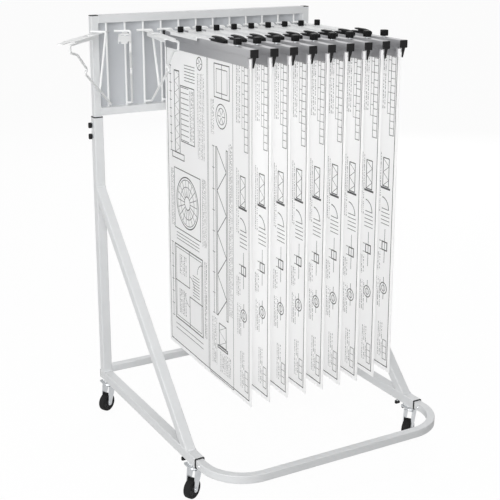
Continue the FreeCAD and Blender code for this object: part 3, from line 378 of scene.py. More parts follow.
for material, names in (
        (grey_paint, ("post_tubes", "side_tubes", "diagonal_braces", "rear_cross_bar", "inner_posts",
                      "front_u_tube", "top_rail", "bottom_rail")),
        (panel_paint, ("back_panel",)),
        (black_plastic, ("tube_sleeves", "post_caps")),
        (grey_plastic, ("pivot_bushes",)),
        (zinc, ("caster_plates", "screw_nuts")),
        (wire_paint, ["pivot_bracket_%d" % number for number in arm_numbers])):
    for name in names:
        finish_node(name, material)
print("arms:", len(arm_numbers))

# %% [markdown]
# ## Where an arm stands
#
# An arm, its clamp and its drawings are easiest to describe straight ahead of the rod: x to the
# right, y forward (negative), z up. Each loaded arm is turned to the left by the same small angle, so
# one matrix takes the straight piece to its place. The rod's place comes from the arm's joint.

# %% Arm places
LOADED_TURN = math.radians(2.0)
LOADED_FIRST = 4


def arm_place(number):
    """The matrix from the straight arm's space to the place of a loaded arm."""
    anchor = joints["arm_%d_swing" % number]["pos_m"]
    return Matrix.Translation((anchor[0], anchor[1], 0)) @ Matrix.Rotation(-LOADED_TURN, 4, "Z")


def map_piece(piece, place, label, flatten):
    """Map coordinates, worked out from each point's place in the straight arm's space."""
    back = place.inverted()
    layer = piece.data.uv_layers.new(name=label)
    for loop in piece.data.loops:
        layer.data[loop.index].uv = flatten(back @ piece.data.vertices[loop.vertex_index].co)


loaded = [number for number in arm_numbers if number >= LOADED_FIRST]
print("loaded arms:", loaded)

# %% [markdown]
# ## Hanging clamps
#
# A clamp is an extruded aluminium box beam over two jaws: the left jaw hangs straight down, the right
# one slants in towards it. Black plastic caps close both ends, and the front cap has a wedge that
# covers the right jaw's end. Two square knobs pull the jaws together and a lever locks the clamp to
# its arm. Extruding an outline is how the real beam is made, so the mesh is made the same way. Map
# coordinates that run along the arm turn the brushed lines in that direction.

# %% Clamp sizes
clamp_top = 1060.2 * MM
beam_height = 19 * MM
beam_foot = clamp_top - beam_height
beam_middle = clamp_top - beam_height / 2
clamp_foot = clamp_top - 42 * MM
half_clamp = 10 * MM
slit_middle = -5 * MM
half_slit = 0.8 * MM
slit_top = clamp_foot + 21 * MM
slit_left = slit_middle - half_slit
slit_right = slit_middle + half_slit
jaw_lip = 2 * MM
jaw_setback = 12 * MM
clamp_rear = 35 * MM
clamp_front = 547 * MM
rear_cap = 18 * MM
front_cap = 4 * MM
clamp_gap = 0.3 * MM
arm_sheet = 2 * MM
print("clamp:", round((clamp_front - clamp_rear) / MM), "mm long")


# %% Clamp outlines
def beam_outline():
    """The beam's end view as (x, z) points: a box with softened edges and a groove along its foot."""
    soft = 0.8 * MM
    groove = 0.5 * MM
    right = [
        (half_clamp - groove, beam_foot),
        (half_clamp - groove, beam_foot + groove),
        (half_clamp, beam_foot + 2 * groove),
        (half_clamp, clamp_top - soft),
        (half_clamp - soft * 0.3, clamp_top - soft * 0.3),
        (half_clamp - soft, clamp_top),
    ]
    return right + [(-x, z) for x, z in reversed(right)]


def jaw_outlines():
    """The left jaw, which hangs straight down, and the right one, which slants to its lip."""
    soft = 0.4 * MM
    left = [(slit_left, slit_top), (slit_left, clamp_foot + soft), (slit_left - soft, clamp_foot),
            (-half_clamp + soft, clamp_foot), (-half_clamp, clamp_foot + soft), (-half_clamp, beam_foot),
            (slit_left, beam_foot)]
    right = [(slit_right, slit_top), (slit_right, beam_foot), (half_clamp - soft, beam_foot),
             (slit_right + jaw_lip, clamp_foot + soft), (slit_right + jaw_lip - soft, clamp_foot),
             (slit_right, clamp_foot)]
    return left, right


print("outlines:", len(beam_outline()), "points and", [len(jaw) for jaw in jaw_outlines()])

# %% Rear cap
CAP_CORNER = 1.6 * MM
# how far behind the clamp's rear end, and how far in from the cap's sides, in millimetres
REAR_CAP = ((0, 0.8), (0.8, 0), (5, 0), (5.5, 0.5), (7, 0.5), (7.5, 0), (17.2, 0), (18, 0.3))


def cap_ring(reach, inset, corner):
    """The cap's outline at one distance from the rod."""
    ring = rounded(2 * (half_clamp - inset), beam_height - 2 * inset, corner)
    return [(x, -reach, beam_middle + z) for x, z in ring]


def rear_cap_shape():
    """A moulded block with softened edges and a groove round it."""
    cap = Shape()
    loft(cap, [cap_ring(clamp_rear + back * MM, inset * MM, CAP_CORNER) for back, inset in REAR_CAP])
    return cap


print("rear cap:", len(rear_cap_shape().vertices), "points")

# %% Front cap
cap_rim = 1.6 * MM
cap_sink = 0.8 * MM
wedge_width = 8 * MM


def front_cap_shape():
    """A square lid with a rim round a ribbed field, over a wedge that covers the right jaw's end."""
    cap = Shape()
    field = clamp_front - cap_sink
    layers = []
    for reach, inset in ((clamp_front - front_cap, 0), (clamp_front - 0.5 * MM, 0),
                         (clamp_front, 0.5 * MM), (clamp_front, cap_rim), (field, cap_rim + 0.2 * MM)):
        layers.append(cap_ring(reach, inset, max(CAP_CORNER - inset, 0.3 * MM)))
    loft(cap, layers)
    rib = 0.6 * MM
    for rib_number in (-1, 0, 1):
        across = rib_number * (half_clamp - cap_rim) / 2
        bar = [(across - rib, beam_foot + cap_rim), (across + rib, beam_foot + cap_rim),
               (across + rib, clamp_top - cap_rim), (across - rib, clamp_top - cap_rim)]
        extrude(cap, bar, -clamp_front + 0.3 * MM, -field + 0.1 * MM)
    wedge_top = beam_foot + 0.4 * MM
    wedge = [(slit_right, clamp_foot), (slit_right + jaw_lip, clamp_foot),
             (slit_right + wedge_width, wedge_top), (slit_right, wedge_top)]
    extrude(cap, wedge, -clamp_front + 0.4 * MM, -clamp_front + front_cap)
    return cap


print("front cap:", len(front_cap_shape().vertices), "points")

# %% Knobs
knob_corner = 2.5 * MM
knob_stud = 4 * MM
GROOVE_PITCH = 0.21
# across a groove, as a share of the knob's side: 0 on the face, 1 at the groove's bottom
GROOVE = ((-0.06, 0), (-0.035, 1), (0.035, 1), (0.06, 0))
# height above the knob's foot, distance in from its sides and depth of its grooves, in millimetres
KNOB = ((0, 0.8, 0), (0.8, 0, 0.5), (13.8, 0, 0.5), (14.6, 0.5, 0.2), (15, 1.4, 0))


def ribbed_square(side, corner, groove):
    """The outline of a square with round corners and three upright grooves in each side."""
    edge = []
    for step in range(5):
        angle = math.pi / 8 * (step - 4)
        edge.append((side / 2 - corner + corner * math.cos(angle),
                     -side / 2 + corner + corner * math.sin(angle)))
    for middle in (-1, 0, 1):
        for along, sink in GROOVE:
            edge.append((side / 2 - sink * groove, (middle * GROOVE_PITCH + along) * side))
    turns = [Matrix.Rotation(math.pi / 2 * quarter, 2) for quarter in range(4)]
    return [tuple(turn @ Vector(point)) for turn in turns for point in edge]


def knob_shape(side, lift):
    """A square knob with grooved sides and a softened top on a zinc stud."""
    knob = Shape()
    layers = []
    for height, inset, groove in KNOB:
        ring = ribbed_square(side - 2 * inset * MM, knob_corner, groove * MM)
        layers.append([(x, y, lift + height * MM) for x, y in ring])
    loft(knob, layers)
    stud_top = lift + 1 * MM
    lathe(knob, [(0, 0), (knob_stud, 0), (knob_stud, stud_top), (0, stud_top)], 24, slot=1)
    return knob


print("knob outline:", len(ribbed_square(1, 0.1, 0.03)), "points")

# %% Lever
tongue_end = 320 * MM
lever_front = 398 * MM
lever_rear = 350 * MM
lever_tip = 315 * MM
tab_tip = 330 * MM
lever_width = 12 * MM
lever_height = 12.4 * MM
lever_nose = 6.6 * MM
lever_edge = 0.8 * MM
CHEEK = 0.93


def lever_outline():
    """The lever's side view: a hump, a blade that lies on the arm's tongue, and a finger tab above."""
    blade_foot = arm_sheet + 2 * clamp_gap
    blade_top = blade_foot + arm_sheet
    body_rear = tongue_end + 4 * MM
    middle = -(lever_front + lever_rear) / 2
    return [
        (-lever_front, 0),
        (-body_rear - 3 * MM, 0),
        (-body_rear, 0.8 * MM),
        (-body_rear, blade_foot),
        (-lever_tip, blade_foot),
        (-lever_tip + 0.3 * MM, blade_foot + arm_sheet / 2),
        (-lever_tip, blade_top),
        (-lever_rear + 2 * MM, blade_top + 0.6 * MM),
        (-lever_rear, lever_height - 4 * MM),
        (-tab_tip - 3 * MM, lever_height - 2.8 * MM),
        (-tab_tip, lever_height - 1.4 * MM),
        (-tab_tip - 2 * MM, lever_height),
        (middle + 8 * MM, lever_height),
        (middle - 6 * MM, lever_height - 1.4 * MM),
        (-lever_front + 1 * MM, lever_nose + 0.4 * MM),
        (-lever_front, lever_nose - 0.6 * MM),
    ]


def lever_shape():
    """The outline made as wide as the lever, with both cheeks drawn in a little."""
    lever = Shape()
    outline = lever_outline()
    centre_y = sum(y for y, z in outline) / len(outline)
    centre_z = sum(z for y, z in outline) / len(outline)
    half = lever_width / 2
    layers = []
    for x, share in ((-half, CHEEK), (-half + lever_edge, 1), (half - lever_edge, 1), (half, CHEEK)):
        layers.append([(x, centre_y + (y - centre_y) * share, centre_z + (z - centre_z) * share)
                       for y, z in outline])
    loft(lever, layers)
    return lever


print("lever:", len(lever_shape().vertices), "points")

# %% Put the clamps together
# the distance from the rod, the side and the height above the clamp of each knob
KNOBS = ((132 * MM, 13 * MM, 2 * clamp_gap + arm_sheet), (460 * MM, 16 * MM, 3 * MM))


def clamp_pieces(count, number):
    """The four pieces that stand for one clamp: beam, caps, knobs and lever."""
    place = arm_place(number)
    body = "arm_%d" % number
    beam_rear = -clamp_rear - rear_cap
    beam_front = -clamp_front + front_cap
    beam = Shape()
    extrude(beam, beam_outline(), beam_front, beam_rear)
    for jaw in jaw_outlines():
        extrude(beam, jaw, beam_front + jaw_setback, beam_rear)
    beam_piece = beam.move(place).build("clamp_beam_%d" % count, [aluminium], body, "clamp_aluminium")
    map_piece(beam_piece, place, "along", lambda point: (-point.y, point.z + point.x))

    caps = Shape()
    caps.join(rear_cap_shape())
    caps.join(front_cap_shape())
    cap_piece = caps.move(place).build("clamp_caps_%d" % count, [black_plastic], body, "black_plastic")

    knobs = Shape()
    for reach, side, lift in KNOBS:
        knobs.join(knob_shape(side, lift), Matrix.Translation((0, -reach, clamp_top)))
    knobs.move(place)
    knob_piece = knobs.build("clamp_knobs_%d" % count, [knob_plastic, zinc], body, "black_plastic")

    lever = lever_shape().move(place @ Matrix.Translation((0, 0, clamp_top)))
    lever_piece = lever.build("clamp_lever_%d" % count, [lever_plastic], body, "black_plastic")
    for piece in (beam_piece, cap_piece, knob_piece, lever_piece):
        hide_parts("hanging_clamp_%d" % count)


for count, number in enumerate(loaded, 1):
    clamp_pieces(count, number)
print("clamps:", len(loaded))

# %% [markdown]
# ## The drawings' ink
#
# A drawing is ink on paper, so it is a pattern in the paper's colour, worked out in metres from the
# sheet's lower rear corner. Each motif is a small group that answers one question: how far is this
# point from a line, a ring or a grid? Where that distance is under half a pen's width there is ink.
# The sheets show a house plan, a roof truss and a stair, as any drawing office would have them.
#
# A `Measure` lets Python's own signs make the Math nodes, so that a distance reads as a formula.

# %% Formulas made of nodes
class Measure:
    """A number that the shader works out at each point of the surface."""

    def __init__(self, tree, socket):
        self.tree = tree
        self.socket = socket

    def reckon(self, operation, *values):
        """A Math node; each value is a Measure or a plain number."""
        sockets = [value.socket if isinstance(value, Measure) else value for value in values]
        return Measure(self.tree, maths(self.tree, operation, *sockets))

    def __add__(self, other):
        return self.reckon("ADD", self, other)

    def __sub__(self, other):
        return self.reckon("SUBTRACT", self, other)

    def __rsub__(self, other):
        return self.reckon("SUBTRACT", other, self)

    def __mul__(self, other):
        return self.reckon("MULTIPLY", self, other)

    def __truediv__(self, other):
        return self.reckon("DIVIDE", self, other)

    def __lt__(self, other):
        return self.reckon("LESS_THAN", self, other)

    def __gt__(self, other):
        return self.reckon("GREATER_THAN", self, other)

    def __abs__(self):
        return self.reckon("ABSOLUTE", self)


def larger(one, other):
    return one.reckon("MAXIMUM", one, other)


def off_whole(number):
    """How far a number is from the nearest whole one."""
    return abs(number - number.reckon("ROUND", number))


print("signs that make nodes: + - * / < > and abs")


# %% Distances from boxes and the lines in them
def box_distance(x, y, left, low, right, high):
    """Below zero inside the box, above zero outside it."""
    return larger(larger(left - x, x - right), larger(low - y, y - high))


def frame_line(x, y, left, low, right, high):
    return abs(box_distance(x, y, left, low, right, high))


def ladder_lines(x, y, left, low, right, high, pitch):
    """Level lines at one pitch inside a box."""
    level = off_whole((y - low) / pitch) * pitch
    return larger(level, box_distance(x, y, left, low, right, high))


def zigzag_line(x, y, left, low, right, high, pitch):
    """A line that runs to and fro between the sides of an upright box, as a truss's webs do."""
    share = (y - low) / pitch
    aim = left + share.reckon("PINGPONG", share, 1.0) * (right - left)
    slant = 1.35
    return larger(abs(x - aim) / slant, box_distance(x, y, left, low, right, high))


def note_marks(x, y, left, low, right, high, pitch):
    """Short uneven strokes in columns, as notes look from afar."""
    strokes_per_metre = 420.0
    column_step = 7.3
    ink_share = 0.47
    column_width = 0.6
    share = (x - left) / pitch
    column = share.reckon("FLOOR", share)
    off_middle = abs(share.reckon("FRACT", share) - 0.5)
    where = add_node(x.tree, "ShaderNodeCombineXYZ", X=(y * strokes_per_metre).socket,
                     Y=(column * column_step).socket, Z=0.0)
    noise = add_node(x.tree, "ShaderNodeTexNoise", Vector=where.outputs[0], Scale=1.0, Detail=1.0)
    gap = Measure(x.tree, noise.outputs[0]) < ink_share
    off_stroke = (off_middle + gap) * (pitch * column_width)
    return larger(off_stroke, box_distance(x, y, left, low, right, high))


print("box motifs: frame, ladder, zigzag, notes")


# %% Distances from rings and spokes
def from_middle(x, y, middle_x, middle_y):
    """The distance from a middle, and its two parts."""
    across = x - middle_x
    up = y - middle_y
    squares = across * across + up * up
    return squares.reckon("SQRT", squares), across, up


def ring_line(x, y, middle_x, middle_y, radius):
    return abs(from_middle(x, y, middle_x, middle_y)[0] - radius)


def quarter_line(x, y, middle_x, middle_y, radius, sign_x, sign_y):
    """A quarter of a ring, as a door's swing on a plan; the signs say which quarter."""
    reach, across, up = from_middle(x, y, middle_x, middle_y)
    elsewhere = (across * sign_x < 0.0) + (up * sign_y < 0.0)
    return abs(reach - radius) + elsewhere


def spoke_lines(x, y, middle_x, middle_y, inner, outer, count):
    """Lines that fan out between two radii."""
    reach, across, up = from_middle(x, y, middle_x, middle_y)
    turn = up.reckon("ARCTAN2", up, across)
    sideways = off_whole(turn * count / FULL_TURN) * reach / (count / FULL_TURN)
    return larger(sideways, larger(inner - reach, reach - outer))


print("round motifs: ring, quarter, spokes")

# %% Pens
BOX = ("Left", "Low", "Right", "High")
MIDDLE_POINT = ("Middle X", "Middle Y")


def new_pen(name, labels, distance):
    """A group with a Point, some numbers and a Pen width, that puts out a mask of ink."""
    inputs = [("Point", "Vector", None)] + [(label, "Float", 0.0) for label in labels]
    group, start, end = new_group("pen_" + name, inputs + [("Pen", "Float", 1 * MM)], [("Ink", "Float")])
    point = add_node(group, "ShaderNodeSeparateXYZ", Vector=start.outputs["Point"])
    x = Measure(group, point.outputs[0])
    y = Measure(group, point.outputs[1])
    off = distance(x, y, *(Measure(group, start.outputs[label]) for label in labels))
    half_pen = Measure(group, start.outputs["Pen"]) * 0.5
    wire(group, end, Ink=(off < half_pen).socket)
    return group


pens = {name: new_pen(name, labels, distance) for name, labels, distance in (
    ("frame", BOX, frame_line),
    ("ring", MIDDLE_POINT + ("Radius",), ring_line),
    ("quarter", MIDDLE_POINT + ("Radius", "Sign X", "Sign Y"), quarter_line),
    ("spokes", MIDDLE_POINT + ("Inner", "Outer", "Count"), spoke_lines),
    ("ladder", BOX + ("Pitch",), ladder_lines),
    ("zigzag", BOX + ("Pitch",), zigzag_line),
    ("notes", BOX + ("Pitch",), note_marks),
)}
print("pens:", ", ".join(pens))

# %% [markdown]
# ## The drawing itself
#
# The sheet is 504 mm wide and 856 mm high. A frame line runs inside its edges with a white margin
# outside, and a double line parts it into two halves. The motifs below are given in millimetres
# from the lower rear corner: kind, pen width, then the group's own numbers. A frame that is only
# 0.2 mm wide draws a single upright line.

# %% Motifs
SHEET_WIDTH = 504
SHEET_HEIGHT = 856
MARGIN = 12
PAST_TOP = SHEET_HEIGHT + 40
FOLD = 264
COLUMN = 408
HEAVY = 3.4
MIDDLE = 2.6
FINE = 1.8
THIN = 1.3
MOTIFS = (
    ("frame", MIDDLE, MARGIN, MARGIN, SHEET_WIDTH - MARGIN, PAST_TOP),
    ("frame", FINE, FOLD, MARGIN, COLUMN, PAST_TOP),
    ("frame", FINE, FOLD + 6, MARGIN - 5, COLUMN, PAST_TOP),
    # a house plan in the lower rear half
    ("frame", HEAVY, 46, 84, 228, 300),
    ("frame", FINE, 54, 92, 220, 292),
    ("frame", MIDDLE, 46, 196, 142, 300),
    ("frame", MIDDLE, 142, 84, 228, 172),
    ("quarter", FINE, 142, 196, 34, 1, 1),
    ("quarter", FINE, 142, 172, 30, -1, -1),
    ("quarter", FINE, 228, 250, 34, -1, 1),
    ("ladder", FINE, 164, 184, 206, 240, 8),
    ("notes", FINE, 70, 106, 122, 176, 10),
    ("notes", FINE, 74, 222, 124, 276, 10),
    # its measuring lines
    ("ladder", FINE, 24, 84, 36, 300, 36),
    ("frame", FINE, 30, 84, 30.2, 300),
    ("ladder", FINE, 46, 52, 228, 66, 14),
    ("notes", FINE, 238, 90, 256, 300, 9),
    # a spiral stair in the middle
    ("ring", HEAVY, 134, 432, 70),
    ("ring", FINE, 134, 432, 63),
    ("ring", MIDDLE, 134, 432, 18),
    ("spokes", FINE, 134, 432, 18, 63, 18),
    ("ring", FINE, 134, 432, 44),
    ("frame", MIDDLE, 50, 348, 218, 516),
    ("notes", THIN, 228, 340, 256, 520, 7),
    ("notes", THIN, 26, 350, 44, 510, 7),
    ("ladder", FINE, 60, 318, 208, 336, 9),
    # a section through a wall and its footing, above it
    ("frame", HEAVY, 60, 560, 92, 780),
    ("zigzag", FINE, 60, 560, 92, 780, 16),
    ("frame", MIDDLE, 40, 544, 118, 560),
    ("ladder", FINE, 100, 600, 150, 740, 14),
    ("frame", MIDDLE, 100, 596, 186, 744),
    ("notes", FINE, 156, 606, 182, 736, 9),
    ("notes", THIN, 204, 570, 250, 790, 9),
    ("ladder", FINE, 126, 760, 190, 800, 8),
    ("ring", MIDDLE, 220, 814, 16),
    ("spokes", FINE, 220, 814, 4, 16, 6),
    ("frame", FINE, 34, 560, 34.2, 790),
    ("ladder", FINE, 28, 560, 40, 790, 23),
    # a roof truss in the front half
    ("frame", MIDDLE, 312, 180, 319, 620),
    ("frame", MIDDLE, 371, 180, 378, 620),
    ("zigzag", MIDDLE, 319, 180, 371, 620, 55),
    ("ladder", FINE, 292, 180, 304, 620, 55),
    ("frame", FINE, 298, 180, 298.2, 620),
    ("ring", MIDDLE, 345, 700, 30),
    ("ring", FINE, 345, 700, 20),
    ("spokes", FINE, 345, 700, 5, 20, 6),
    ("frame", MIDDLE, 306, 744, 390, 826),
    ("frame", FINE, 318, 756, 378, 814),
    ("frame", FINE, 348, 744, 348.2, 826),
    ("notes", THIN, 284, 650, 306, 736, 7),
    ("notes", THIN, 384, 200, 404, 640, 7),
    ("frame", MIDDLE, 326, 100, 366, 160),
    ("zigzag", FINE, 326, 100, 366, 160, 20),
    ("frame", HEAVY, 318, 92, 374, 98),
    ("notes", THIN, 284, 40, 312, 168, 8),
    ("notes", THIN, 330, 30, 396, 84, 8),
    # a schedule at the top of the front column
    ("frame", FINE, 468, 636, 486, 852),
    ("ladder", THIN, 468, 636, 486, 852, 18),
    ("frame", THIN, 456, 690, 468, 852),
    ("ladder", THIN, 456, 690, 468, 852, 27),
    ("notes", THIN, 424, 700, 448, 846, 8),
    # details down the front column
    ("frame", MIDDLE, 446, 500, 472, 574),
    ("zigzag", FINE, 446, 500, 472, 574, 18),
    ("frame", HEAVY, 440, 494, 478, 496),
    ("quarter", MIDDLE, 446, 440, 30, 1, 1),
    ("frame", FINE, 446, 440, 476, 440.2),
    ("ladder", FINE, 444, 400, 480, 430, 10),
    ("notes", THIN, 424, 430, 440, 590, 8),
    ("frame", HEAVY, 452, 330, 474, 352),
    ("frame", FINE, 463, 296, 463.2, 386),
    ("ladder", FINE, 440, 330, 448, 352, 22),
    ("notes", THIN, 424, 270, 446, 320, 8),
    ("ring", MIDDLE, 464, 226, 15),
    ("ring", FINE, 464, 226, 8),
    ("frame", FINE, 464, 196, 464.2, 256),
    ("notes", THIN, 428, 170, 450, 250, 8),
    # a short list of parts in the lower front corner
    ("frame", FINE, 470, 30, 486, 84),
    ("ladder", THIN, 470, 30, 486, 84, 18),
    ("notes", THIN, 444, 34, 466, 130, 8),
)
print("motifs:", len(MOTIFS))

# %% Ink
INK = seen(34, 34, 36)
INK_COVER = 0.94
PLAIN_NUMBERS = ("Count", "Sign X", "Sign Y")


def inked(tree, point, motifs):
    """All motifs' ink in one mask."""
    total = None
    for kind, width, *numbers in motifs:
        group = pens[kind]
        node = use_group(tree, group, Point=point, Pen=width * MM)
        labels = [item.name for item in group.interface.items_tree
                  if item.in_out == "INPUT" and item.name not in ("Point", "Pen")]
        for label, number in zip(labels, numbers):
            node.inputs[label].default_value = number if label in PLAIN_NUMBERS else number * MM
        total = node.outputs[0] if total is None else maths(tree, "MAXIMUM", total, node.outputs[0])
    return total


print("ink covers", INK_COVER, "of the paper's colour")


# %% Paper
def paper(name, motifs):
    """Matt paper with a fine grain; with motifs it has a white margin and a drawing."""
    material, tree, shader = new_material(name)
    point = tree.nodes.new("ShaderNodeUVMap").outputs[0]
    fibres = use_group(tree, peel, Point=place_of(tree), Size=700.0, Blotch_Size=9.0)
    colour = mix_colour(tree, fibres.outputs["Blotch"], seen(243, 243, 243), seen(246, 246, 246))
    if motifs:
        where = add_node(tree, "ShaderNodeSeparateXYZ", Vector=point)
        outside = box_distance(Measure(tree, where.outputs[0]), Measure(tree, where.outputs[1]),
                               MARGIN * MM, MARGIN * MM, (SHEET_WIDTH - MARGIN) * MM, PAST_TOP * MM)
        colour = mix_colour(tree, (outside > 0.0).socket, colour, seen(252, 252, 252))
        ink = maths(tree, "MULTIPLY", inked(tree, point, motifs), INK_COVER)
        colour = mix_colour(tree, ink, colour, INK)
    wire(tree, shader, Base_Color=colour, Roughness=0.85)
    relief = add_node(tree, "ShaderNodeBump", Height=fibres.outputs["Height"],
                      Strength=0.06, Distance=0.1 * MM)
    wire(tree, shader, Normal=relief.outputs[0])
    return material


printed_paper = paper("printed_paper", MOTIFS)
blank_paper = paper("blank_paper", ())
print("nodes in the printed paper:", len(printed_paper.node_tree.nodes))

# %% [markdown]
# ## Packs of drawings
#
# Each pack is three sheets, clamped along the upper edge and hanging free below. Real paper isn't
# quite flat: it bows a little where nothing holds it. Every sheet is a thin closed mesh on a grid,
# bent by a few slow waves that grow from nothing at the jaws to a fraction of a millimetre below.

# %% Sheet sizes
sheets_foot = 182 * MM
sheets_top = sheets_foot + SHEET_HEIGHT * MM
sheets_rear = 37 * MM
sheets_front = sheets_rear + SHEET_WIDTH * MM
sheet_thickness = 0.22 * MM
COLUMNS = 26
ROWS = 40
# each sheet's distance from the pack's middle and how much shorter it is cut, in millimetres
SHEETS = ((-0.52, 0.0), (0.0, 0.7), (0.52, 1.3))
print("sheets reach from", round(sheets_foot, 3), "to", round(sheets_top, 3), "m above the floor")


# %% One sheet
def sheet_face(side, offset, ragged, phase, sway):
    """The points of one face, row by row from the jaws down, each row from rear to front."""
    front = sheets_front - ragged * MM
    foot = sheets_foot + ragged * MM
    points = []
    for row in range(ROWS + 1):
        z = sheets_top + (foot - sheets_top) * row / ROWS
        slack = (row / ROWS) ** 1.5
        for column in range(COLUMNS + 1):
            reach = sheets_rear + (front - sheets_rear) * column / COLUMNS
            wave = math.sin(reach * 13 + phase) + 0.3 * math.sin(reach * 31 + z * 5 + phase)
            bow = offset * (1 + 1.5 * slack) + wave * slack * sway
            points.append((slit_middle + bow * MM + side * sheet_thickness / 2, -reach, z))
    return points


def rim_of_grid():
    """The numbers of a face's outer points, once round."""
    along = COLUMNS + 1
    rim = list(range(along))
    rim += [row * along + COLUMNS for row in range(1, ROWS + 1)]
    rim += [ROWS * along + column for column in range(COLUMNS - 1, -1, -1)]
    return rim + [row * along for row in range(ROWS - 1, 0, -1)]


def sheet_shape(offset, ragged, phase, sway):
    """One sheet in the straight arm's space, its printed face to the left."""
    shape = Shape()
    for slot, side in enumerate((-1, 1)):
        faces = []
        for row in range(ROWS):
            for column in range(COLUMNS):
                low = row * (COLUMNS + 1) + column
                faces.append((low, low + 1, low + COLUMNS + 2, low + COLUMNS + 1)[::side])
        shape.add(sheet_face(side, offset, ragged, phase, sway), faces, slot)
    per_side = (ROWS + 1) * (COLUMNS + 1)
    rim = rim_of_grid()
    edge = [(here, there, per_side + there, per_side + here) for here, there in zip(rim, rim[1:] + rim[:1])]
    shape.faces += edge
    shape.slots += [1] * len(edge)
    return shape


print("points round a sheet:", len(rim_of_grid()))

# %% Hang the packs
for count, number in enumerate(loaded, 1):
    place = arm_place(number)
    luck = random.Random(count)
    phase = luck.uniform(0, FULL_TURN)
    sway = luck.uniform(0.4, 0.8)
    for layer_number, (offset, ragged) in enumerate(SHEETS, 1):
        leaf = sheet_shape(offset, ragged, phase, sway).move(place)
        face = printed_paper if layer_number == 1 else blank_paper
        piece = leaf.build("drawing_%d_%d" % (count, layer_number), [face, blank_paper],
                           "arm_%d" % number, "drawing_paper")
        map_piece(piece, place, "drawing", lambda point: (-point.y - sheets_rear, point.z - sheets_foot))
        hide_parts("plan_sheets_%d" % count)
print("sheets:", len(SHEETS) * len(loaded))

# %% [markdown]
# ## Weld beads
#
# Where two tubes of the frame meet, a welder leaves a bead that looks like a row of overlapping
# scales, and the paint covers it like the rest. A bevelled curve would give a smooth rod, so the bead
# is a tube of small rings whose radius swells and shrinks along the seam.

# %% A bead along a seam
BEAD_SCALE = 2.4 * MM
BEAD_STEP = 0.8 * MM
BEAD_SIDES = 8
BEAD_RIPPLE = 0.12


def bead_middles(corners, closed):
    """Points at even steps along straight seams whose corners are given in millimetres."""
    corners = [Vector(corner) * MM for corner in corners]
    ends = corners[1:] + corners[:1] if closed else corners[1:]
    middles = []
    for start, end in zip(corners, ends):
        steps = max(1, round((end - start).length / BEAD_STEP))
        middles += [start.lerp(end, step / steps) for step in range(steps)]
    return middles if closed else middles + corners[-1:]


def weld_bead(shape, corners, normal, radius, closed=True):
    """A rippled tube along straight seams that lie in one plane, whose normal is given."""
    middles = bead_middles(corners, closed)
    normal = Vector(normal)
    count = len(middles)
    vertices = []
    for index, middle in enumerate(middles):
        before = middles[index - 1] if closed or index else middle
        after = middles[(index + 1) % count] if closed or index < count - 1 else middle
        side = (after - before).normalized().cross(normal)
        swell = radius * (1 + BEAD_RIPPLE * math.sin(FULL_TURN * index * BEAD_STEP / BEAD_SCALE))
        for step in range(BEAD_SIDES):
            angle = FULL_TURN * step / BEAD_SIDES
            vertices.append(middle + side * swell * math.cos(angle) + normal * swell * math.sin(angle))
    faces = []
    for index in range(count if closed else count - 1):
        low = index * BEAD_SIDES
        high = (index + 1) % count * BEAD_SIDES
        for step in range(BEAD_SIDES):
            after = (step + 1) % BEAD_SIDES
            faces.append((low + step, low + after, high + after, high + step))
    if not closed:
        faces.append(tuple(reversed(range(BEAD_SIDES))))
        faces.append(tuple(range((count - 1) * BEAD_SIDES, count * BEAD_SIDES)))
    shape.add(vertices, faces)


print("rings of a bead:", round(BEAD_STEP / MM, 1), "mm apart")

# %% Where the frame's tubes meet
# everything here is in millimetres, but the radii of the beads
TUBE_WIDTH = 25.4
BRACE_DEPTH = 36
PLATE_DEPTH = 30
SEAM_INSET = 0.9
BEAD = 1.9 * MM
BAR_BEAD = 1.6 * MM


def box_mm(name):
    """A CAD node's lowest and highest corner, in millimetres."""
    return [Vector(corner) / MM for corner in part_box(name)]


def bead_round(shape, axis, place, first, second, radius=BEAD):
    """A bead round a rectangle that lies across an axis, at a place on it: 0 is x, 1 is y, 2 is z."""
    corners = []
    for here, there in ((0, 0), (1, 0), (1, 1), (0, 1)):
        corner = [first[here], second[there]]
        corner.insert(axis, place)
        corners.append(corner)
    weld_bead(shape, corners, [float(number == axis) for number in range(3)], radius)


post_low, post_high = box_mm("post_tubes")
side_low, side_high = box_mm("side_tubes")
brace_low, brace_high = box_mm("diagonal_braces")
bar_low, bar_high = box_mm("rear_cross_bar")
plate_low, plate_high = box_mm("caster_plates")
post_middle = post_high.x - TUBE_WIDTH / 2
half_seam = TUBE_WIDTH / 2 - SEAM_INSET
half_plate_seam = PLATE_DEPTH / 2 - 3
print("posts stand", round(2 * post_middle, 1), "mm apart")

# %% The seams of the welded frame
welds = Shape()
for side in (-1, 1):
    x = side * post_middle
    across = (x - half_seam, x + half_seam)
    bead_round(welds, 2, side_high.z, across, (post_low.y, post_high.y - SEAM_INSET))
    bead_round(welds, 2, side_high.z, across, (brace_low.y, brace_low.y + BRACE_DEPTH))
    bead_round(welds, 1, post_low.y, across, (brace_high.z, brace_high.z - BRACE_DEPTH))
    bead_round(welds, 0, side * bar_high.x, (bar_low.y, bar_high.y), (bar_low.z, bar_high.z), BAR_BEAD)
    for plate_y in (plate_low.y + PLATE_DEPTH / 2, plate_high.y - PLATE_DEPTH / 2):
        for edge in (-1, 1):
            ends = [(x + edge * TUBE_WIDTH / 2, plate_y + end * half_plate_seam, side_low.z)
                    for end in (-1, 1)]
            weld_bead(welds, ends, (0, 0, 1), BEAD, closed=False)
welds.build("frame_welds", [grey_paint], "frame", "grey_paint")
print("frame welds:", len(welds.vertices), "points")

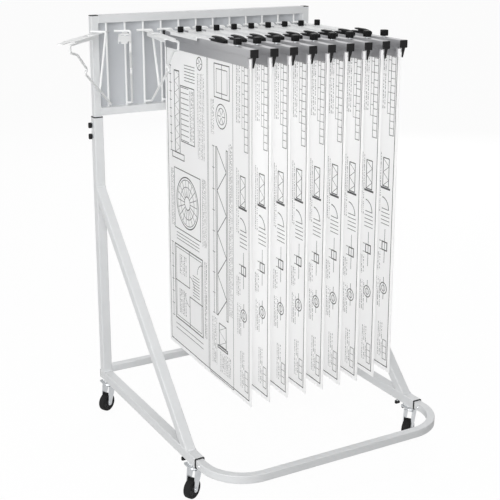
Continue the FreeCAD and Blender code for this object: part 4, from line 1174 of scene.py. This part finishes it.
# %% The seams of the panel frame
INNER_WIDTH = 20
TOP_INSET = 2
PANEL_BEAD = 1.4 * MM
inner_face = box_mm("inner_posts")[1].x - INNER_WIDTH
half_inner = INNER_WIDTH / 2
panel_welds = Shape()
for rail, closed in (("top_rail", False), ("bottom_rail", True)):
    rail_low, rail_high = box_mm(rail)
    top = rail_high.z if closed else rail_high.z - TOP_INSET
    for side in (-1, 1):
        x = side * inner_face
        corners = [(x, -half_inner, top), (x, -half_inner, rail_low.z),
                   (x, half_inner, rail_low.z), (x, half_inner, top)]
        weld_bead(panel_welds, corners, (1, 0, 0), PANEL_BEAD, closed)
panel_welds.build("panel_frame_welds", [grey_paint], "panel_frame", "grey_paint")
print("panel frame welds:", len(panel_welds.vertices), "points")

# %% [markdown]
# ## Snap buttons
#
# A sprung steel button looks out of a hole in each leg of the front tube and stops it from sliding
# right out. It is a turned part, so it is made on the lathe: a dome with a short straight skirt.

# %% Buttons
button_radius = 4.3 * MM
button_rise = 2.5 * MM
button_skirt = 2 * MM
button_y = -604 * MM
button_z = 98.3 * MM
DOME_STEPS = 6
dome = [(0, -button_skirt), (button_radius, -button_skirt)]
for step in range(DOME_STEPS):
    angle = math.pi / 2 * step / DOME_STEPS
    dome.append((button_radius * math.cos(angle), button_rise * math.sin(angle)))
dome.append((0, button_rise))
outward = Vector((-1, 0, 0)).to_track_quat("Z", "Y").to_matrix().to_4x4()
buttons = Shape()
for side in (-1, 1):
    button = Shape()
    lathe(button, dome, 32)
    face_x = (side * post_middle - half_inner) * MM
    buttons.join(button, Matrix.Translation((face_x, button_y, button_z)) @ outward)
buttons.build("snap_buttons", [steel_button], "front_tube", "zinc")
print("buttons at", round(face_x, 4), button_y, button_z)

# %% [markdown]
# ## Casters
#
# The pressed forks stay as the CAD made them. The wheels get what a plain turned solid lacks: a
# rubber tread with rounded shoulders on a ribbed plastic core, both turned on a lathe about the
# axle. A pressed ring round the crown, which holds the swivel's balls, finishes each caster.

# %% Wheel profiles
CASTER_SPOTS = ("front_left", "front_right", "rear_left", "rear_right")
wheel_radius = 25 * MM
half_tread = 9 * MM
tread_rim = 18.2 * MM
shoulder = 3 * MM
shoulder_rise = 2.6 * MM
SHOULDER_STEPS = 5
# radius and height of the core's lower half, in millimetres
CORE = ((3.1, -10.2), (8, -10.2), (8, -6.2), (9.4, -5.4), (16.4, -5.4), (17.2, -8), (18.3, -8))
WHEEL_RIBS = 6
# a rib's nearest and furthest distance from the axle, half its height and half its thickness
RIB = (8 * MM, 16.8 * MM, 7.4 * MM, 0.9 * MM)


def mirror_up(profile):
    """The same profile on the other side of the wheel's middle, in turning order."""
    return [(radius, -height) for radius, height in reversed(profile)]


def tread_profile():
    """The tread's outline from the rim out to the crown and back."""
    profile = [(tread_rim, -half_tread + 0.6 * MM), (tread_rim + 1 * MM, -half_tread),
               (wheel_radius - shoulder, -half_tread)]
    for step in range(1, SHOULDER_STEPS + 1):
        angle = math.pi / 2 * step / SHOULDER_STEPS
        profile.append((wheel_radius - shoulder + shoulder_rise * math.sin(angle),
                        -half_tread + shoulder * (1 - math.cos(angle))))
    return profile + [(wheel_radius, 0)] + mirror_up(profile)


print("tread:", len(tread_profile()), "points in its outline")


# %% Wheels
def wheel_shape():
    """A wheel about the Z axis: tread in slot 0, core in slot 1."""
    wheel = Shape()
    lathe(wheel, tread_profile(), 64, slot=0)
    core = [(radius * MM, height * MM) for radius, height in CORE]
    lathe(wheel, core + mirror_up(core), 48, slot=1)
    inner, outer, high, half = RIB
    for rib in range(WHEEL_RIBS):
        web = Shape()
        extrude(web, [(inner, -high), (outer, -high), (outer, high), (inner, high)], -half, half, slot=1)
        wheel.join(web, Matrix.Rotation(FULL_TURN * rib / WHEEL_RIBS, 4, "Z"))
    return wheel


for spot in CASTER_SPOTS:
    axis = Vector(joints["roll_" + spot]["axis"]).normalized()
    low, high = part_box("caster_wheel_" + spot)
    middle = (Vector(low) + Vector(high)) / 2
    place = Matrix.Translation(middle) @ axis.to_track_quat("Z", "Y").to_matrix().to_4x4()
    piece = wheel_shape().move(place).build("wheel_" + spot, [tread_rubber, wheel_core],
                                            "wheel_" + spot, "caster_tread")
    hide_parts("caster_wheel_" + spot)
    finish_node("caster_fork_" + spot, zinc)
print("wheels:", len(CASTER_SPOTS))

# %% Swivel races
RACE = ((14.6, 79.2), (15.9, 79.4), (16.5, 80.1), (16.5, 81.4), (16.0, 82.1), (14.6, 82.3), (14.6, 79.2))
for spot in CASTER_SPOTS:
    centre = joints["swivel_" + spot]["pos_m"]
    race = Shape()
    lathe(race, [(radius * MM, height * MM) for radius, height in RACE], 48)
    race.move(Matrix.Translation((centre[0], centre[1], 0)))
    race.build("swivel_race_" + spot, [zinc], "fork_" + spot, "zinc")
print("points of a race:", len(race.vertices))

# %% [markdown]
# ## Clamping screws
#
# Wing screws clamp the sliding tubes. Each has a black moulded head, waisted in the middle so that
# the fingers find it, and a zinc shank with a thread. The thread is a row of fine rings on a lathe:
# at this pitch nobody sees that it doesn't climb.

# %% A wing screw
screw_radius = 3 * MM
screw_point = 0.6 * MM
thread_pitch = 1 * MM
thread_depth = 0.45 * MM
head_length = 15 * MM
head_width = 8 * MM
head_height = 9 * MM
head_corner = (head_width / 2 - 0.5 * MM) * 0.9
waist_reach = 3 * MM
WAIST_DEPTH = 0.22
# height above the head's foot and distance in from its outline, in millimetres
HEAD = ((0, 1.0), (0.8, 0.2), (1.6, 0), (7.4, 0), (8.4, 0.3), (9, 1.1))


def wing_screw_shape(total):
    """A screw along +Z with its tip at the origin; total is its whole length."""
    screw = Shape()
    shank = total - head_height
    profile = [(0, 0), (screw_radius - screw_point, 0)]
    for turn in range(int((shank - 1 * MM) / thread_pitch)):
        z = screw_point + turn * thread_pitch
        profile += [(screw_radius, z + thread_pitch * 0.4),
                    (screw_radius - thread_depth, z + thread_pitch * 0.9)]
    profile += [(screw_radius, shank), (0, shank + 1 * MM)]
    lathe(screw, profile, 24, slot=1)
    layers = []
    for z, inset in HEAD:
        ring = rounded(head_length - 2 * inset * MM, head_width - 2 * inset * MM, head_corner, 6)
        layer = []
        for x, y in ring:
            waist = 1 - WAIST_DEPTH * math.exp(-(x / waist_reach) ** 2)
            layer.append((x, y * waist, shank + z * MM))
        layers.append(layer)
    loft(screw, layers, slot=0)
    return screw


print("a screw of 40 mm has", len(wing_screw_shape(40 * MM).vertices), "points")

# %% Screws in their places
screw_names = sorted(name for name in nodes if name.startswith("thumb_screw_"))
for name in screw_names:
    spot = name[len("thumb_screw_"):]
    low, high = (Vector(corner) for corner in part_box(name))
    middle = (low + high) / 2
    if spot.startswith("post"):
        outward = Vector((1 if middle.x > 0 else -1, 0, 0))
        long_side = Vector((0, 0, 1))
        total = high.x - low.x
    else:
        outward = Vector((0, 0, -1))
        long_side = Vector((1, 0, 0))
        total = high.z - low.z
    place = Matrix((long_side, outward.cross(long_side), outward)).transposed().to_4x4()
    place.translation = middle - outward * total / 2
    screw = wing_screw_shape(total).move(place)
    piece = screw.build("wing_screw_" + spot, [black_plastic, zinc], "screw_" + spot, "black_plastic")
    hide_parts(name)
print("screws:", len(screw_names))

# %% [markdown]
# ## Stage, light and camera
#
# The floor is plain and pale, and shows pure white to the camera while it still takes a soft
# shadow. Broad lamps light the rack from the front, the left, above and behind, over an even sky. The
# left one casts no shadow, as a fill does, so that the hanging sheets don't darken one another, and
# the back one isn't mirrored in shiny faces, so that the clamps' tops stay grey.

# %% Floor
FLOOR_REACH = 30.0
FLOOR_GLOW = 0.95
WHITE = (1, 1, 1, 1)
corners = [(-FLOOR_REACH, -FLOOR_REACH, 0), (FLOOR_REACH, -FLOOR_REACH, 0),
           (FLOOR_REACH, FLOOR_REACH, 0), (-FLOOR_REACH, FLOOR_REACH, 0)]
floor_mesh = bpy.data.meshes.new("floor")
floor_mesh.from_pydata(corners, [], [(0, 1, 2, 3)])
floor = bpy.data.objects.new("floor", floor_mesh)
bpy.context.scene.collection.objects.link(floor)


def seen_directly(tree):
    """1 for rays from the camera and for rays that a shiny or clear surface sends on."""
    path = tree.nodes.new("ShaderNodeLightPath")
    mirrored = maths(tree, "MAXIMUM", path.outputs["Is Glossy Ray"], path.outputs["Is Transmission Ray"])
    return maths(tree, "MAXIMUM", path.outputs["Is Camera Ray"], mirrored)


floor_paint, tree, shader = new_material("pale_floor")
ray = tree.nodes.new("ShaderNodeLightPath").outputs["Is Camera Ray"]
wire(tree, shader, Base_Color=mix_colour(tree, ray, seen(176, 176, 176), WHITE), Roughness=0.9)
white = add_node(tree, "ShaderNodeEmission", Color=WHITE, Strength=1.0)
share = maths(tree, "MULTIPLY", seen_directly(tree), FLOOR_GLOW)
blend = add_node(tree, "ShaderNodeMixShader", Fac=share, i1=shader.outputs[0], i2=white.outputs[0])
wire(tree, tree.nodes["Material Output"], Surface=blend.outputs[0])
floor_mesh.materials.append(floor_paint)
print("floor:", 2 * FLOOR_REACH, "m wide")

# %% Sky
SKY_LIGHT = 0.3
world = bpy.data.worlds.new("studio")
bpy.context.scene.world = world
world.use_nodes = True
tree = world.node_tree
strength = add_node(tree, "ShaderNodeMapRange", Value=seen_directly(tree), To_Min=SKY_LIGHT, To_Max=1.0)
wire(tree, tree.nodes["Background"], Color=WHITE, Strength=strength.outputs[0])
print("sky lights with", SKY_LIGHT, "and shows white")


# %% Lamps
def lamp(name, place, aim, size, power, shadow=True, mirrored=True):
    """A square lamp at a place, turned to the point it is aimed at."""
    light = bpy.data.lights.new(name, "AREA")
    light.use_shadow = shadow
    light.shape = "SQUARE"
    light.size = size
    light.energy = power
    holder = bpy.data.objects.new(name, light)
    bpy.context.scene.collection.objects.link(holder)
    holder.visible_glossy = mirrored
    holder.location = place
    holder.rotation_euler = (Vector(aim) - Vector(place)).to_track_quat("-Z", "Y").to_euler()


lamp("key_lamp", (-2.0, -4.0, 2.3), (0, -0.4, 0.7), 1.6, 72)
lamp("left_fill", (-3.4, -1.4, 1.5), (0, -0.3, 0.6), 2.0, 58, shadow=False)
lamp("top_lamp", (0.2, -0.4, 3.6), (0, -0.3, 0.5), 2.4, 24)
lamp("back_lamp", (2.6, 2.6, 1.8), (0, -0.3, 0.6), 2.4, 64, mirrored=False)
print("lamps:", len(bpy.data.lights))

# %% Camera
YAW = math.radians(29.31)
PITCH = math.radians(14.67)
CAMERA_PLACE = Vector((-1.3302, -2.6263, 1.3368))
FOCAL_PIXELS = 1058.8
IMAGE_PIXELS = 500
SENSOR = 36.0
camera_data = bpy.data.cameras.new("camera")
camera_data.sensor_width = SENSOR
camera_data.lens = FOCAL_PIXELS / IMAGE_PIXELS * SENSOR
camera_data.shift_y = -0.1
camera = bpy.data.objects.new("camera", camera_data)
bpy.context.scene.collection.objects.link(camera)
camera.location = CAMERA_PLACE
forward = Vector((math.sin(YAW) * math.cos(PITCH), math.cos(YAW) * math.cos(PITCH), -math.sin(PITCH)))
camera.rotation_euler = forward.to_track_quat("-Z", "Y").to_euler()
bpy.context.scene.camera = camera
bpy.context.scene.view_settings.view_transform = "Standard"
print("lens:", round(camera_data.lens, 1), "mm")
